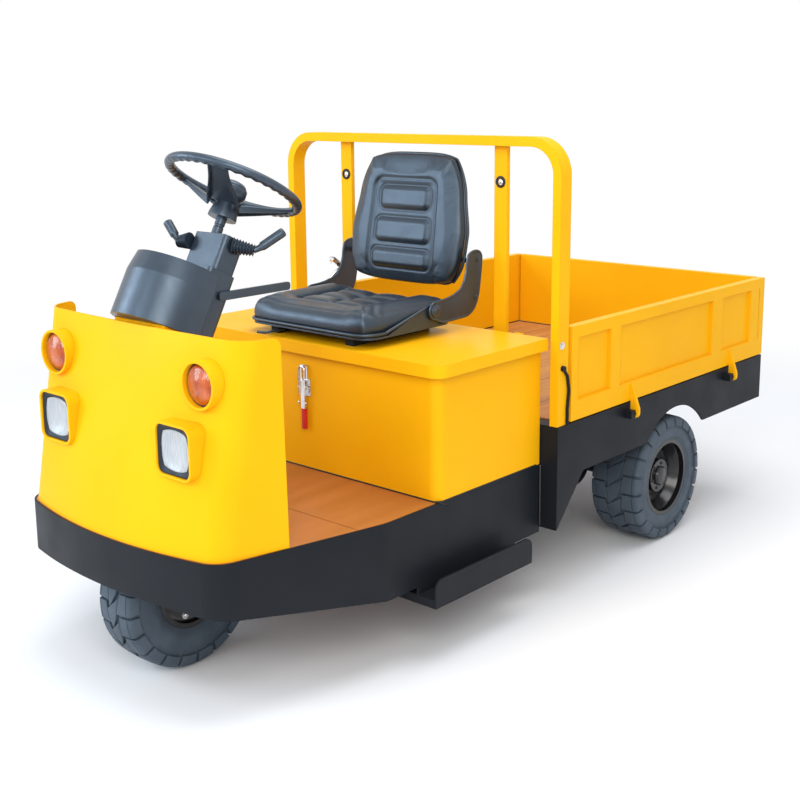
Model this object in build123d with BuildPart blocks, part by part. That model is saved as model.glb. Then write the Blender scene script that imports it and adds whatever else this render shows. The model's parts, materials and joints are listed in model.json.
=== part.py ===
from build123d import *
import os
from math import cos, radians, sin, tan

os.makedirs("parts", exist_ok=True)

# Electric platform truck, in millimetres.
# Z is up from the ground, X is across and Y runs from the nose to the tail.
# Lengths along the truck are stations, measured back from the guard's front face.

# Main sizes
REAR_WIDTH = 1200  # over the rear side plates
CAB_WIDTH = 1068  # over the battery box and the skirt
BED_LENGTH = 1416  # guard face to the rear plate
CAB_LENGTH = 1281  # guard face to the nose
TAIL_TO_AXLE = 671
NOSE_TO_KINGPIN = 261
NOSE_TO_WHEEL = 515  # steering wheel's middle
FRAME_TOP = 578  # top of the rear frame
FLOOR_TOP = 449  # driver's floor and the skirt's top edge
REST_GAP = 0.3  # between pieces that seat on each other
SWING_GAP = 6  # between a moving piece and its neighbours

# Rear frame
FRAME_PLATE = 8
SILL_Z = 406  # lower edge of the side plates
TOE_Z = 240  # lower front corner of the side plates
TOE_LENGTH = 150
ARCH_R = 270
FLANGE_DEPTH = 58  # shelf that carries the guard
RAIL_X = 335
RAIL_WIDTH = 60
RAIL_HEIGHT = 100
CROSS_FORWARD, CROSS_BEHIND = 445, 385  # cross members, from the rear axle
CROSS_DEPTH = 50
CROSS_HEIGHT = 60
PLANK_THICKNESS = 20
PLANK_COUNT = 6
PLANK_GAP = 3
PLANK_RISE = 3  # planks above the frame top

# Front frame, a skirt around the driver's floor
SKIRT_PLATE = 6
SKIRT_BOTTOM = 223
SKIRT_NOSE_BOTTOM = 310
NOSE_TO_TAPER = 561
NOSE_CORNER_X = 424
NOSE_SAG = 60  # bow of the nose over its corners
NOSE_CORNER_R = 85
TAPER_BEND_R = 160
BEAM_X = 330
BEAM_WIDTH = 60
BEAM_HEIGHT = 70
FLOOR_PLATE = 8
NOSE_TO_SEAM = 476
SEAM_WIDTH = 3

# Steps under the skirt
STEP_FRONT = -590
STEP_REAR = -130
STEP_Z = 174
STEP_DEPTH = 26
STEP_INNER_X = 440
STEP_LIP_TOP = 258
STEP_LIP_R = 30

# Cowl
COWL_SHEET = 4
COWL_TOP = 1003
COWL_SETBACK = 9  # inside the skirt at the foot
NOSE_TO_COWL_REAR = 267
NOSE_TO_COWL_TOP = 146
COWL_TOP_HALF = 428
COWL_TOP_SAG = 14
COWL_TOP_REAR_HALF = 452
COWL_FOOT_REAR_HALF = 464
COWL_CORNER_R = 80
COWL_EAR_R = 24

# Lamps on the cowl: centre X, centre Z, and front face behind the nose
INDICATOR_X, INDICATOR_Z, NOSE_TO_INDICATOR = 319, 888, 102
HEADLAMP_X, HEADLAMP_Z, NOSE_TO_HEADLAMP = 264, 717, 58
INDICATOR_R = 64
HEADLAMP_SIZE = 146
HEADLAMP_CORNER_R = 30
BEZEL_WALL = 7
BEZEL_REACH = 120  # longer than the cowl leans back behind any bezel
LENS_INSET = 8
LENS_THICKNESS = 10
LENS_DOME = 9
GASKET = 11

# Battery box and lid
BOX_FRONT = -502
BOX_REAR = -4
BOX_SHEET = 4
BOX_TOP = 842
BOX_CORNER_R = 32
BATTERY_SIZE = (900, 400, 300)
LID_TOP = 858
LID_SHEET = 4
LID_RIM = 38
LID_OVERHANG = 28
LID_CORNER_R = 45
LID_PIN_STATION = 12
LID_PIN_Z = 848
LID_PIN_R = 5
LID_EAR_R = 10
LID_EAR_WIDTH = 14
LID_HINGE_X = 440
LID_LUG = 6
LID_LUG_DROP = 24
LID_LUG_GAP = 2  # ear to lug

# Guard
GUARD_INSET = 2.5  # inside the rear side plates
GUARD_TOP = 1471
GUARD_TUBE = 30
GUARD_DEPTH = 55
GUARD_CORNER_R = 115
POST_X = 340
POST_WIDTH = 50
POST_THICKNESS = 15

# Drop sides and tailgate
BOARD_INNER_X = 571
BOARD_THICKNESS = 32
BOARD_FRONT = 66
BOARD_REAR_INSET = 6  # ahead of the rear plate
BOARD_BOTTOM = 584
BOARD_TOP = 888
BOARD_TOP_RAIL = 38
BOARD_LOW_RAIL = 64
BOARD_RECESS = 12
BOARD_RIBS = ((0.207, 0.25), (0.698, 0.754), (0.916, 0.965))  # edges of each rib, as shares of the bed length
BOARD_HOOKS = (0.3, 0.8)  # shares of the bed length
GATE_INSET = 28  # inner face ahead of the rear plate
GATE_THICKNESS = 30
GATE_RIBS = ((-410, -340), (-35, 35), (340, 410))  # left and right X of each rib
GATE_HOOKS = (-400, 400)  # X
HINGE_Z = 543
HINGE_OUT = 22  # pin axis out from the frame plate
HINGE_PIN_R = 7
HOOK_R = 16
HOOK_WIDTH = 12
HOOK_HEIGHT = 56
HOOK_NECK = 6
HINGE_BLOCK = 26
HINGE_SIDE_GAP = 3
HINGE_HEAD = 4
GATE_BOLT_INSET = 22
GATE_BOLT_R = 7
GATE_BOLT_LOW, GATE_BOLT_HIGH = 680, 840
LATCH_ROD_R = 5
LATCH_BEND_R = 20
LATCH_BOSS_R = 9
LATCH_PATH = ((22, 763), (44, 735), (53, 689), (46, 630), (46, FRAME_TOP))  # station and Z, downwards

# Wheels
TYRE_R = 228.5
REAR_TYRE_WIDTH = 190
REAR_TYRE_FACE = 580  # X of the outer sidewall
REAR_BEAD_R = 132
FRONT_TYRE_WIDTH = 140
FRONT_BEAD_R = 106
RIM_WALL = 6
RIM_LIP = 9
TREAD_CROWN = 4
SHOULDER_DROP = 12
SHOULDER_BEVEL = 10
SIDEWALL_BULGE = 16
RIM_DISC = 10
REAR_DISH = 20  # disc out from the wheel's middle
HUB_RADIUS = 60
HUB_LENGTH = 70

# Rear axle, springs and drive
AXLE_TUBE_R = 42
AXLE_TUBE_END = 372
SPINDLE_R = 25
SPINDLE_END = 520
SPRING_HALF = 330
SPRING_RISE = 78
SPRING_WIDTH = 50
SPRING_PACK = 26
SPRING_EYE_R = 17
SADDLE_HEIGHT = 12
HANGER_PLATE = 6
SHACKLE_PIN_R = 8
SADDLE_LENGTH = 90
DIFF_R = 112
GEAR_CASE = 130
MOTOR_R = 95
MOTOR_FORWARD = 175  # ahead of the rear axle
MOTOR_Z = 275
MOTOR_END_X = 300
MOTOR_EDGE_R = 14

# Rear fittings
TAIL_LAMP_X, TAIL_LAMP_Z = 515, 492
TAIL_LAMP_SIZE = (100, 60)
TAIL_LAMP_R = 12
TAIL_LAMP_DEPTH = 18
CLEVIS_HALF = 34
CLEVIS_HEIGHT = 84
CLEVIS_PLATE = 14
CLEVIS_DEPTH = 60
CLEVIS_REACH = 36  # behind the rear plate
CLEVIS_PIN_INSET = 20
TOW_PIN_R = 12.5

# Front fork
FORK_LEG = 20
FORK_GAP = 8  # tyre to leg
FORK_LEG_DEPTH = 84
FORK_CROWN = 28
CROWN_GAP = 13  # tyre to crown
KINGPIN_R = 30
FRONT_AXLE_R = 13
WELL_R = 248  # room for the turning wheel under the floor
HOUSING_R = 145
HOUSING_SHEET = 5
HOUSING_FLANGE = 24
HEAD_R = 46
HEAD_HEIGHT = 110

# Steering gear, along the raked column
WHEEL_Z = 1348
RAKE = 28
WHEEL_R = 190
GRIP_R = 14
HUB_DROP = 62
HUB_PROFILE = (  # radius and height over the rim's plane, from the collar's end up to the horn cap
    (42, -102),
    (30, -46),
    (44, -30),
    (44, -6),
    (32, 6),
)
SHAFT_R = 15
SHAFT_END = 200
STALK_BOX_WIDTH = 140
STALK_BOX_FRONT = 20  # ahead of the column axis
STALK_BOX_TOP = 153
STALK_BOX_BOTTOM = 256
COLUMN_WIDTH = 160
COLUMN_FRONT = 42
COLUMN_BACK = 56  # behind the column axis
COLUMN_R = 14
SPOKE_ANGLES = (-57, 63, 183)
SPOKE_ROOT = 24  # inner end of a spoke, from the axis
SPOKE_WIDTH = 62
SPOKE_THICKNESS = 6
DRUM_R = 134
DRUM_FORWARD = 77  # drum centre ahead of the column axis
DRUM_TOP = 280
DRUM_SHOULDER = 334
DRUM_BOTTOM = 464
DRUM_INSET = 10
PEDESTAL_WIDTH = 220
PEDESTAL_FORWARD = 346  # front and rear faces ahead of the steering wheel
PEDESTAL_BACK = 172
STALK_POINTS = (  # boot, knee and tip of each stalk, as X, run behind the steering wheel and Z
    ((-60, -112, 1196), (-100, -121, 1193), (-150, -123, 1245)),
    ((60, -70, 1187), (110, -33, 1176), (150, 43, 1220)),
)
BOOT_R = 21
STALK_R = 13
LEVER_FORWARD = 139  # ends ahead of and behind the steering wheel
LEVER_BEHIND = 126
LEVER_Z = 1054
LEVER_HEIGHT = 24
LEVER_THICKNESS = 9
PEDALS = ((-185, 62), (-70, 90))  # centre X and pad width
PEDAL_BEHIND = 31  # behind the steering wheel
PEDAL_LEAN = 22
PEDAL_HEIGHT = 80
PEDAL_STALK_R = 8
PEDAL_PAD = 80
PEDAL_PAD_R = 10
PEDAL_THICKNESS = 8

# Toggle latch
LATCH_HALF = 22
LATCH_PLATE = 4
LATCH_BASE_Z = (684, 738)
LATCH_LOOP_Z = (716, 782)
LATCH_LOOP_HALF = 15
LATCH_WIRE = 5
LATCH_HANDLE = 12
LATCH_HANDLE_HALF = 8
LATCH_GRIP_Z = (579, 644)

# Seat
SEAT_HALF = 262
SEAT_FRONT = -505
SEAT_REAR = -95
RAIL_TRACK = 165  # X of the slide rails
SLIDE_HEIGHT = 28
SLIDE_WIDTH = 34
SLIDE_INSET = 30
PAN_SHEET = 6
PAN_CHEEK = 4
CHEEK_LENGTH = 223
CUSHION_TOP = 980
CUSHION_R = 34
SEAT_CORNER_R = 60
BACK_STATION = -80  # pad's front face at its foot
BACK_FOOT = 990
BACK_BELOW_GUARD = 55
BACK_LEAN = 8
BACK_FOOT_HALF = 215
BACK_HALF = 240
BACK_CORNER = 0.162  # corner radius, as a share of the backrest's height
PAD_EDGE_R = 26
SHELL_EDGE_R = 12
BACK_TOP_HALF = 180
BACK_SHOULDER = 0.416  # height of the widest part, as a share
PAD_DEPTH = 58
SHELL_DEPTH = 16
SHELL_INSET = 6
ARM_PLATE = 8
ARM_PIVOT_STATION = -205
ARM_PIVOT_Z = 939
ARM_EYE_R = 26
ARM_PIN_R = 8
ARM_SIDE_GAP = 5
ARM_CORNER_R = 14
ARM_TUBE_R = 8
ARM_TUBE_Z = 1070
RECLINE_R = 6
RECLINE_KNOB_R = 12
RECLINE_TIP = (-35, 1012)  # station and Z
ARM_OUTLINE = (  # station and Z
    (-205, 913),
    (-46, 900),
    (26, 972),
    (26, 1102),
    (-38, 1108),
    (-64, 1012),
    (-140, 980),
    (-205, 965),
)

# Places worked out from the sizes above
axle_station = BED_LENGTH - TAIL_TO_AXLE
kingpin_station = NOSE_TO_KINGPIN - CAB_LENGTH
wheel_station = NOSE_TO_WHEEL - CAB_LENGTH
taper_station = NOSE_TO_TAPER - CAB_LENGTH
cowl_rear = NOSE_TO_COWL_REAR - CAB_LENGTH
cowl_top_front = NOSE_TO_COWL_TOP - CAB_LENGTH
indicator_face = NOSE_TO_INDICATOR - CAB_LENGTH
headlamp_face = NOSE_TO_HEADLAMP - CAB_LENGTH
board_rear = BED_LENGTH - BOARD_REAR_INSET
gate_inner = BED_LENGTH - GATE_INSET
clevis_end = BED_LENGTH + CLEVIS_REACH
lever_front = wheel_station - LEVER_FORWARD
lever_rear = wheel_station + LEVER_BEHIND
guard_width = REAR_WIDTH - 2 * GUARD_INSET
half_rear = REAR_WIDTH / 2
half_cab = CAB_WIDTH / 2
rear_reach = BED_LENGTH + HINGE_OUT + HOOK_R
guard_y = (CAB_LENGTH - rear_reach) / 2
tail_y = guard_y + BED_LENGTH
nose_y = guard_y - CAB_LENGTH
axle_y = guard_y + axle_station
kingpin_y = guard_y + kingpin_station
plank_top = FRAME_TOP + PLANK_RISE
rail_top = plank_top - PLANK_THICKNESS
rail_bottom = rail_top - RAIL_HEIGHT
beam_top = FLOOR_TOP - FLOOR_PLATE
rear_wheel_x = REAR_TYRE_FACE - REAR_TYRE_WIDTH / 2
lid_half = half_cab + LID_OVERHANG
lid_front = BOX_FRONT - LID_OVERHANG
steer_plane = Plane(
    origin=(0, guard_y + wheel_station, WHEEL_Z),
    x_dir=(1, 0, 0),
    z_dir=(0, sin(radians(RAKE)), cos(radians(RAKE))),
)


def station(y):
    """Y of a point that lies y behind the guard's front face."""
    return guard_y + y


def block(x, y, z, mode=Mode.ADD):
    """A box given by its low and high X, station and Z."""
    centre = ((x[0] + x[1]) / 2, station((y[0] + y[1]) / 2), (z[0] + z[1]) / 2)
    with Locations(centre):
        Box(x[1] - x[0], y[1] - y[0], z[1] - z[0], mode=mode)


def facing_plane(y):
    """A plane that looks out of the nose at station y, with X to the right and Z up."""
    return Plane.XZ.offset(-station(y))


# Rear frame
with BuildPart() as rear_frame:
    with BuildSketch(Plane.YZ.offset(half_rear - FRAME_PLATE)):
        with BuildLine():
            Polyline(
                (guard_y, FRAME_TOP),
                (tail_y, FRAME_TOP),
                (tail_y, SILL_Z),
                (guard_y + TOE_LENGTH, SILL_Z),
                (guard_y, TOE_Z),
                close=True,
            )
        make_face()
        with Locations((axle_y, TYRE_R)):
            Circle(ARCH_R, mode=Mode.SUBTRACT)
    extrude(amount=FRAME_PLATE)
    block((RAIL_X - RAIL_WIDTH / 2, RAIL_X + RAIL_WIDTH / 2), (0, BED_LENGTH), (rail_bottom, rail_top))
    mirror(about=Plane.YZ)
    inner = (FRAME_PLATE - half_rear, half_rear - FRAME_PLATE)
    block(inner, (0, FRAME_PLATE), (TOE_Z, FRAME_TOP))
    block(inner, (0, FLANGE_DEPTH), (FRAME_TOP - FRAME_PLATE, FRAME_TOP))
    block(inner, (BED_LENGTH - FRAME_PLATE, BED_LENGTH), (SILL_Z, FRAME_TOP))
    for cross in (axle_station - CROSS_FORWARD, axle_station + CROSS_BEHIND):
        block(inner, (cross, cross + CROSS_DEPTH), (rail_top - CROSS_HEIGHT, rail_top))
rear_frame.part.label = "rear_frame"
export_step(rear_frame.part, "parts/rear_frame.step")

# Bed planks
plank_front = FLANGE_DEPTH + PLANK_GAP
plank_rear = gate_inner - PLANK_GAP
plank_span = 2 * (BOARD_INNER_X - PLANK_GAP)
plank_pitch = plank_span / PLANK_COUNT
with BuildPart() as bed_floor:
    with Locations((0, station((plank_front + plank_rear) / 2), rail_top + PLANK_THICKNESS / 2)):
        with GridLocations(plank_pitch, 1, PLANK_COUNT, 1):
            Box(plank_pitch - PLANK_GAP, plank_rear - plank_front, PLANK_THICKNESS)
bed_floor.part.label = "bed_floor"
export_step(bed_floor.part, "parts/bed_floor.step")


def skirt_plan(inset):
    """Face of the skirt's plan, drawn in from its outer line."""
    corner_y = nose_y + NOSE_SAG
    with BuildLine() as outline:
        Polyline(
            (-NOSE_CORNER_X, corner_y),
            (-half_cab, station(taper_station)),
            (-half_cab, guard_y),
            (half_cab, guard_y),
            (half_cab, station(taper_station)),
            (NOSE_CORNER_X, corner_y),
        )
        ThreePointArc((NOSE_CORNER_X, corner_y), (0, nose_y), (-NOSE_CORNER_X, corner_y))
    make_face(outline.edges())
    rows = vertices().group_by(Axis.Y)
    fillet(rows[0], NOSE_CORNER_R)
    bends = [v for v in vertices() if abs(v.Y - station(taper_station)) < 1]
    fillet(bends, TAPER_BEND_R)
    if inset:
        offset(amount=-inset, mode=Mode.REPLACE)


# Front frame: the skirt, its beams and the cut that lifts its nose
with BuildPart() as front_frame:
    with BuildSketch(Plane.XY.offset(SKIRT_BOTTOM)):
        skirt_plan(0)
    extrude(amount=FLOOR_TOP - SKIRT_BOTTOM)
    with BuildSketch(Plane.XY.offset(SKIRT_BOTTOM)):
        skirt_plan(SKIRT_PLATE)
    extrude(amount=FLOOR_TOP - SKIRT_BOTTOM, mode=Mode.SUBTRACT)
    with BuildSketch(Plane.YZ):
        with BuildLine():
            Polyline(
                (station(taper_station), SKIRT_BOTTOM),
                (nose_y, SKIRT_NOSE_BOTTOM),
                (nose_y, SKIRT_BOTTOM),
                close=True,
            )
        make_face()
    extrude(amount=half_cab, both=True, mode=Mode.SUBTRACT)
    beam_z = (beam_top - BEAM_HEIGHT, beam_top)
    for side in (-1, 1):
        edges_x = sorted((side * (BEAM_X - BEAM_WIDTH / 2), side * (BEAM_X + BEAM_WIDTH / 2)))
        block(edges_x, (kingpin_station, 0), beam_z)
    wall = half_cab - SKIRT_PLATE / 2
    cross_front = kingpin_station + WELL_R
    narrowing = (half_cab - NOSE_CORNER_X) / (taper_station + CAB_LENGTH - NOSE_SAG)
    front_wall = wall - narrowing * (taper_station - cross_front)
    block((-front_wall, front_wall), (cross_front, cross_front + BEAM_WIDTH), beam_z)
    block((-wall, wall), (BOX_FRONT, BOX_FRONT + BEAM_WIDTH), beam_z)
front_frame.part.label = "front_frame"
export_step(front_frame.part, "parts/front_frame.step")

# Driver's floor, two plates with a round cut-out for the wheel housing
with BuildPart() as driver_floor:
    with BuildSketch(Plane.XY.offset(beam_top)):
        skirt_plan(SKIRT_PLATE + REST_GAP)
        with Locations((0, kingpin_y)):
            Circle(HOUSING_R + HOUSING_SHEET + REST_GAP, mode=Mode.SUBTRACT)
        with Locations((0, station(NOSE_TO_SEAM - CAB_LENGTH))):
            Rectangle(CAB_WIDTH, SEAM_WIDTH, mode=Mode.SUBTRACT)
    extrude(amount=FLOOR_PLATE)
driver_floor.part.label = "driver_floor"
export_step(driver_floor.part, "parts/driver_floor.step")

# Side steps
with BuildPart() as side_steps:
    block((STEP_INNER_X, half_rear), (STEP_FRONT, STEP_REAR), (STEP_Z, STEP_Z + STEP_DEPTH))
    with BuildSketch(Plane.YZ.offset(half_rear - SKIRT_PLATE)):
        with BuildLine():
            Polyline(
                (station(STEP_FRONT), STEP_Z),
                (station(STEP_FRONT), STEP_LIP_TOP),
                (station(STEP_REAR), STEP_LIP_TOP),
                (station(STEP_REAR), STEP_Z),
                close=True,
            )
        make_face()
        fillet(vertices().group_by(Axis.Y)[-1], STEP_LIP_R)
    extrude(amount=SKIRT_PLATE)
    block((half_cab - SKIRT_PLATE, half_cab), (STEP_FRONT, STEP_REAR), (STEP_Z, SKIRT_BOTTOM))
    mirror(about=Plane.YZ)
side_steps.part.label = "side_steps"
export_step(side_steps.part, "parts/side_steps.step")


def cowl_section(corner_x, front_y, sag, rear_x, rear_y, corner_r):
    """Plan of the cowl at one height: bowed front, round corners and short sides."""
    corner_y = front_y + sag
    with BuildLine() as outline:
        Polyline(
            (-corner_x, corner_y),
            (-rear_x, rear_y),
            (rear_x, rear_y),
            (corner_x, corner_y),
        )
        ThreePointArc((corner_x, corner_y), (0, front_y), (-corner_x, corner_y))
    make_face(outline.edges())
    fillet(vertices().group_by(Axis.Y)[0], corner_r)


def cowl_body(inset, overrun):
    """Foot and top plans of the cowl, drawn in by a wall and run on at the back."""
    rear_y = station(cowl_rear) + overrun
    corner_r = COWL_CORNER_R - inset
    with BuildSketch(Plane.XY.offset(FLOOR_TOP)) as foot:
        cowl_section(NOSE_CORNER_X - COWL_SETBACK - inset, nose_y + COWL_SETBACK + inset, NOSE_SAG,
                     COWL_FOOT_REAR_HALF - inset, rear_y, corner_r)
    with BuildSketch(Plane.XY.offset(COWL_TOP)) as top:
        cowl_section(COWL_TOP_HALF - inset, station(cowl_top_front) + inset, COWL_TOP_SAG,
                     COWL_TOP_REAR_HALF - inset, rear_y, corner_r)
    return [foot.sketch, top.sketch]


# Cowl, a leaning apron open at the back, with an opening behind each lamp
indicator_spots = ((-INDICATOR_X, INDICATOR_Z), (INDICATOR_X, INDICATOR_Z))
headlamp_spots = ((-HEADLAMP_X, HEADLAMP_Z), (HEADLAMP_X, HEADLAMP_Z))
headlamp_inside = HEADLAMP_SIZE - 2 * BEZEL_WALL
with BuildPart() as cowl:
    loft(cowl_body(0, 0))
    loft(cowl_body(COWL_SHEET, COWL_SHEET), mode=Mode.SUBTRACT)
    with BuildSketch(Plane.YZ):
        with Locations((station(cowl_rear), COWL_TOP)):
            Rectangle(2 * COWL_EAR_R, 2 * COWL_EAR_R)
        with Locations((station(cowl_rear) - COWL_EAR_R, COWL_TOP - COWL_EAR_R)):
            Circle(COWL_EAR_R, mode=Mode.SUBTRACT)
    extrude(amount=half_cab, both=True, mode=Mode.SUBTRACT)
    with BuildSketch(facing_plane(headlamp_face)):
        with Locations(indicator_spots):
            Circle(INDICATOR_R - BEZEL_WALL)
        with Locations(headlamp_spots):
            RectangleRounded(headlamp_inside, headlamp_inside, HEADLAMP_CORNER_R - BEZEL_WALL)
    extrude(amount=-BEZEL_REACH, mode=Mode.SUBTRACT)
cowl.part.label = "cowl"
export_step(cowl.part, "parts/cowl.step")

# Lamp bezels: tubes that reach from the leaning cowl to an upright face
with BuildPart() as lamp_bezels:
    with BuildSketch(facing_plane(indicator_face)):
        with Locations(indicator_spots):
            Circle(INDICATOR_R)
            Circle(INDICATOR_R - BEZEL_WALL, mode=Mode.SUBTRACT)
    extrude(amount=-BEZEL_REACH)
    with BuildSketch(facing_plane(headlamp_face)):
        with Locations(headlamp_spots):
            RectangleRounded(HEADLAMP_SIZE, HEADLAMP_SIZE, HEADLAMP_CORNER_R)
            RectangleRounded(headlamp_inside, headlamp_inside, HEADLAMP_CORNER_R - BEZEL_WALL,
                             mode=Mode.SUBTRACT)
    extrude(amount=-BEZEL_REACH)
    loft(cowl_body(0, 0), mode=Mode.SUBTRACT)
lamp_bezels.part.label = "lamp_bezels"
export_step(lamp_bezels.part, "parts/lamp_bezels.step")

# Indicator lenses, shallow domes inside their bezels
indicator_lens_r = INDICATOR_R - BEZEL_WALL - REST_GAP
dome_r = (indicator_lens_r**2 + LENS_DOME**2) / (2 * LENS_DOME)
lens_back = station(indicator_face + LENS_INSET + LENS_THICKNESS)
lens_rim = station(indicator_face + LENS_INSET)
with BuildPart() as indicator_lenses:
    with BuildSketch(Plane((INDICATOR_X, 0, INDICATOR_Z), x_dir=(0, 1, 0), z_dir=(1, 0, 0))):
        with BuildLine():
            Polyline(
                (lens_rim - LENS_DOME, 0),
                (lens_back, 0),
                (lens_back, indicator_lens_r),
                (lens_rim, indicator_lens_r),
            )
            RadiusArc((lens_rim, indicator_lens_r), (lens_rim - LENS_DOME, 0), -dome_r)
        make_face()
    revolve(axis=Axis((INDICATOR_X, 0, INDICATOR_Z), (0, 1, 0)))
    mirror(about=Plane.YZ)
indicator_lenses.part.label = "indicator_lenses"
export_step(indicator_lenses.part, "parts/indicator_lenses.step")

# Headlamps: a rubber gasket ring and a clear lens in each square bezel
gasket_size = headlamp_inside - 2 * REST_GAP
gasket_corner = HEADLAMP_CORNER_R - BEZEL_WALL
lens_size = gasket_size - 2 * GASKET
with BuildPart() as headlamp_gaskets:
    with BuildSketch(facing_plane(headlamp_face + LENS_INSET)):
        with Locations(headlamp_spots):
            RectangleRounded(gasket_size, gasket_size, gasket_corner)
            RectangleRounded(lens_size, lens_size, gasket_corner, mode=Mode.SUBTRACT)
    extrude(amount=-LENS_THICKNESS)
headlamp_gaskets.part.label = "headlamp_gaskets"
export_step(headlamp_gaskets.part, "parts/headlamp_gaskets.step")

with BuildPart() as headlamp_lenses:
    with BuildSketch(facing_plane(headlamp_face + LENS_INSET)):
        with Locations(headlamp_spots):
            RectangleRounded(lens_size - 2 * REST_GAP, lens_size - 2 * REST_GAP, gasket_corner)
    extrude(amount=-LENS_THICKNESS)
headlamp_lenses.part.label = "headlamp_lenses"
export_step(headlamp_lenses.part, "parts/headlamp_lenses.step")

# Battery box, open at the top, and the battery block on its floor
with BuildPart() as battery_box:
    block((-half_cab, half_cab), (BOX_FRONT, BOX_REAR), (FLOOR_TOP, BOX_TOP))
    corners = battery_box.edges().filter_by(Axis.Z).group_by(Axis.Y)[0]
    fillet(corners, BOX_CORNER_R)
    offset(amount=-BOX_SHEET, openings=battery_box.faces().sort_by(Axis.Z)[-1])
battery_box.part.label = "battery_box"
export_step(battery_box.part, "parts/battery_box.step")

box_middle = (BOX_FRONT + BOX_REAR) / 2
with BuildPart() as battery:
    with Locations((0, station(box_middle), FLOOR_TOP + BOX_SHEET)):
        Box(*BATTERY_SIZE, align=(Align.CENTER, Align.CENTER, Align.MIN))
battery.part.label = "battery"
export_step(battery.part, "parts/battery.step")

# Lid with a turned-down rim at the front and sides, and its rear hinge ears
with BuildPart() as battery_lid:
    block((-lid_half, lid_half), (lid_front, BOX_REAR), (LID_TOP - LID_RIM, LID_TOP))
    corners = battery_lid.edges().filter_by(Axis.Z).group_by(Axis.Y)[0]
    fillet(corners, LID_CORNER_R)
    opened = [battery_lid.faces().sort_by(Axis.Z)[0], battery_lid.faces().sort_by(Axis.Y)[-1]]
    offset(amount=-LID_SHEET, openings=opened)
    with BuildSketch(Plane.YZ.offset(LID_HINGE_X - LID_EAR_WIDTH / 2)):
        with Locations((station(LID_PIN_STATION), LID_PIN_Z)):
            Circle(LID_EAR_R)
        with BuildLine():
            Polyline(
                (station(BOX_REAR) - LID_EAR_R, LID_TOP),
                (station(BOX_REAR), LID_TOP),
                (station(LID_PIN_STATION) + LID_EAR_R, LID_PIN_Z),
                (station(LID_PIN_STATION) - LID_EAR_R, LID_PIN_Z),
                (station(BOX_REAR) - LID_EAR_R, LID_TOP - LID_SHEET),
                close=True,
            )
        make_face()
        with Locations((station(LID_PIN_STATION), LID_PIN_Z)):
            Circle(LID_PIN_R + REST_GAP, mode=Mode.SUBTRACT)
    extrude(amount=LID_EAR_WIDTH)
    mirror(about=Plane.YZ)
battery_lid.part.label = "battery_lid"
export_step(battery_lid.part, "parts/battery_lid.step")

# Hinge lugs and pins on the box's rear wall, which carry the lid
lug_in = LID_HINGE_X - LID_EAR_WIDTH / 2 - LID_LUG_GAP
lug_out = LID_HINGE_X + LID_EAR_WIDTH / 2 + LID_LUG_GAP
with BuildPart() as lid_hinges:
    with BuildSketch(Plane.YZ.offset(lug_in - LID_LUG)) as lug:
        with Locations((station(LID_PIN_STATION), LID_PIN_Z)):
            Circle(LID_EAR_R)
        with BuildLine():
            Polyline(
                (station(BOX_REAR), BOX_TOP),
                (station(LID_PIN_STATION), LID_PIN_Z + LID_EAR_R),
                (station(LID_PIN_STATION) + LID_EAR_R, LID_PIN_Z),
                (station(BOX_REAR), BOX_TOP - LID_LUG_DROP),
                close=True,
            )
        make_face()
    extrude(amount=LID_LUG)
    extrude(lug.sketch.moved(Location((lug_out - lug_in + LID_LUG, 0, 0))), amount=LID_LUG)
    with BuildSketch(Plane.YZ.offset(lug_in)):
        with Locations((station(LID_PIN_STATION), LID_PIN_Z)):
            Circle(LID_PIN_R)
    extrude(amount=lug_out - lug_in)
    mirror(about=Plane.YZ)
lid_hinges.part.label = "lid_hinges"
export_step(lid_hinges.part, "parts/lid_hinges.step")

# Guard hoop with its two inner posts
with BuildPart() as guard:
    with BuildSketch(facing_plane(0)):
        for inset, mode in ((0, Mode.ADD), (GUARD_TUBE, Mode.SUBTRACT)):
            half = guard_width / 2 - inset
            with BuildLine():
                FilletPolyline(
                    (-half, FRAME_TOP),
                    (-half, GUARD_TOP - inset),
                    (half, GUARD_TOP - inset),
                    (half, FRAME_TOP),
                    radius=GUARD_CORNER_R - inset,
                )
                Line((half, FRAME_TOP), (-half, FRAME_TOP))
            make_face(mode=mode)
    extrude(amount=-GUARD_DEPTH)
    for side in (-1, 1):
        post_x = (side * POST_X - POST_WIDTH / 2, side * POST_X + POST_WIDTH / 2)
        block(post_x, (GUARD_DEPTH - POST_THICKNESS, GUARD_DEPTH), (FRAME_TOP, GUARD_TOP - GUARD_TUBE / 2))
guard.part.label = "guard"
export_step(guard.part, "parts/guard.step")

# Drop sides: a flat sheet inside, recessed panels between the rails outside
board_outer = BOARD_INNER_X + BOARD_THICKNESS
hinge_x = half_rear + HINGE_OUT
board_hooks = [share * BED_LENGTH for share in BOARD_HOOKS]
panel_edges = [BOARD_FRONT + BOARD_TOP_RAIL]
for first, last in BOARD_RIBS:
    panel_edges += [first * BED_LENGTH, last * BED_LENGTH]
panel_edges.append(board_rear - BOARD_TOP_RAIL)
panels = [(a, b) for a, b in zip(panel_edges[::2], panel_edges[1::2]) if b > a]
panel_z = (BOARD_BOTTOM + BOARD_LOW_RAIL, BOARD_TOP - BOARD_TOP_RAIL)


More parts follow.
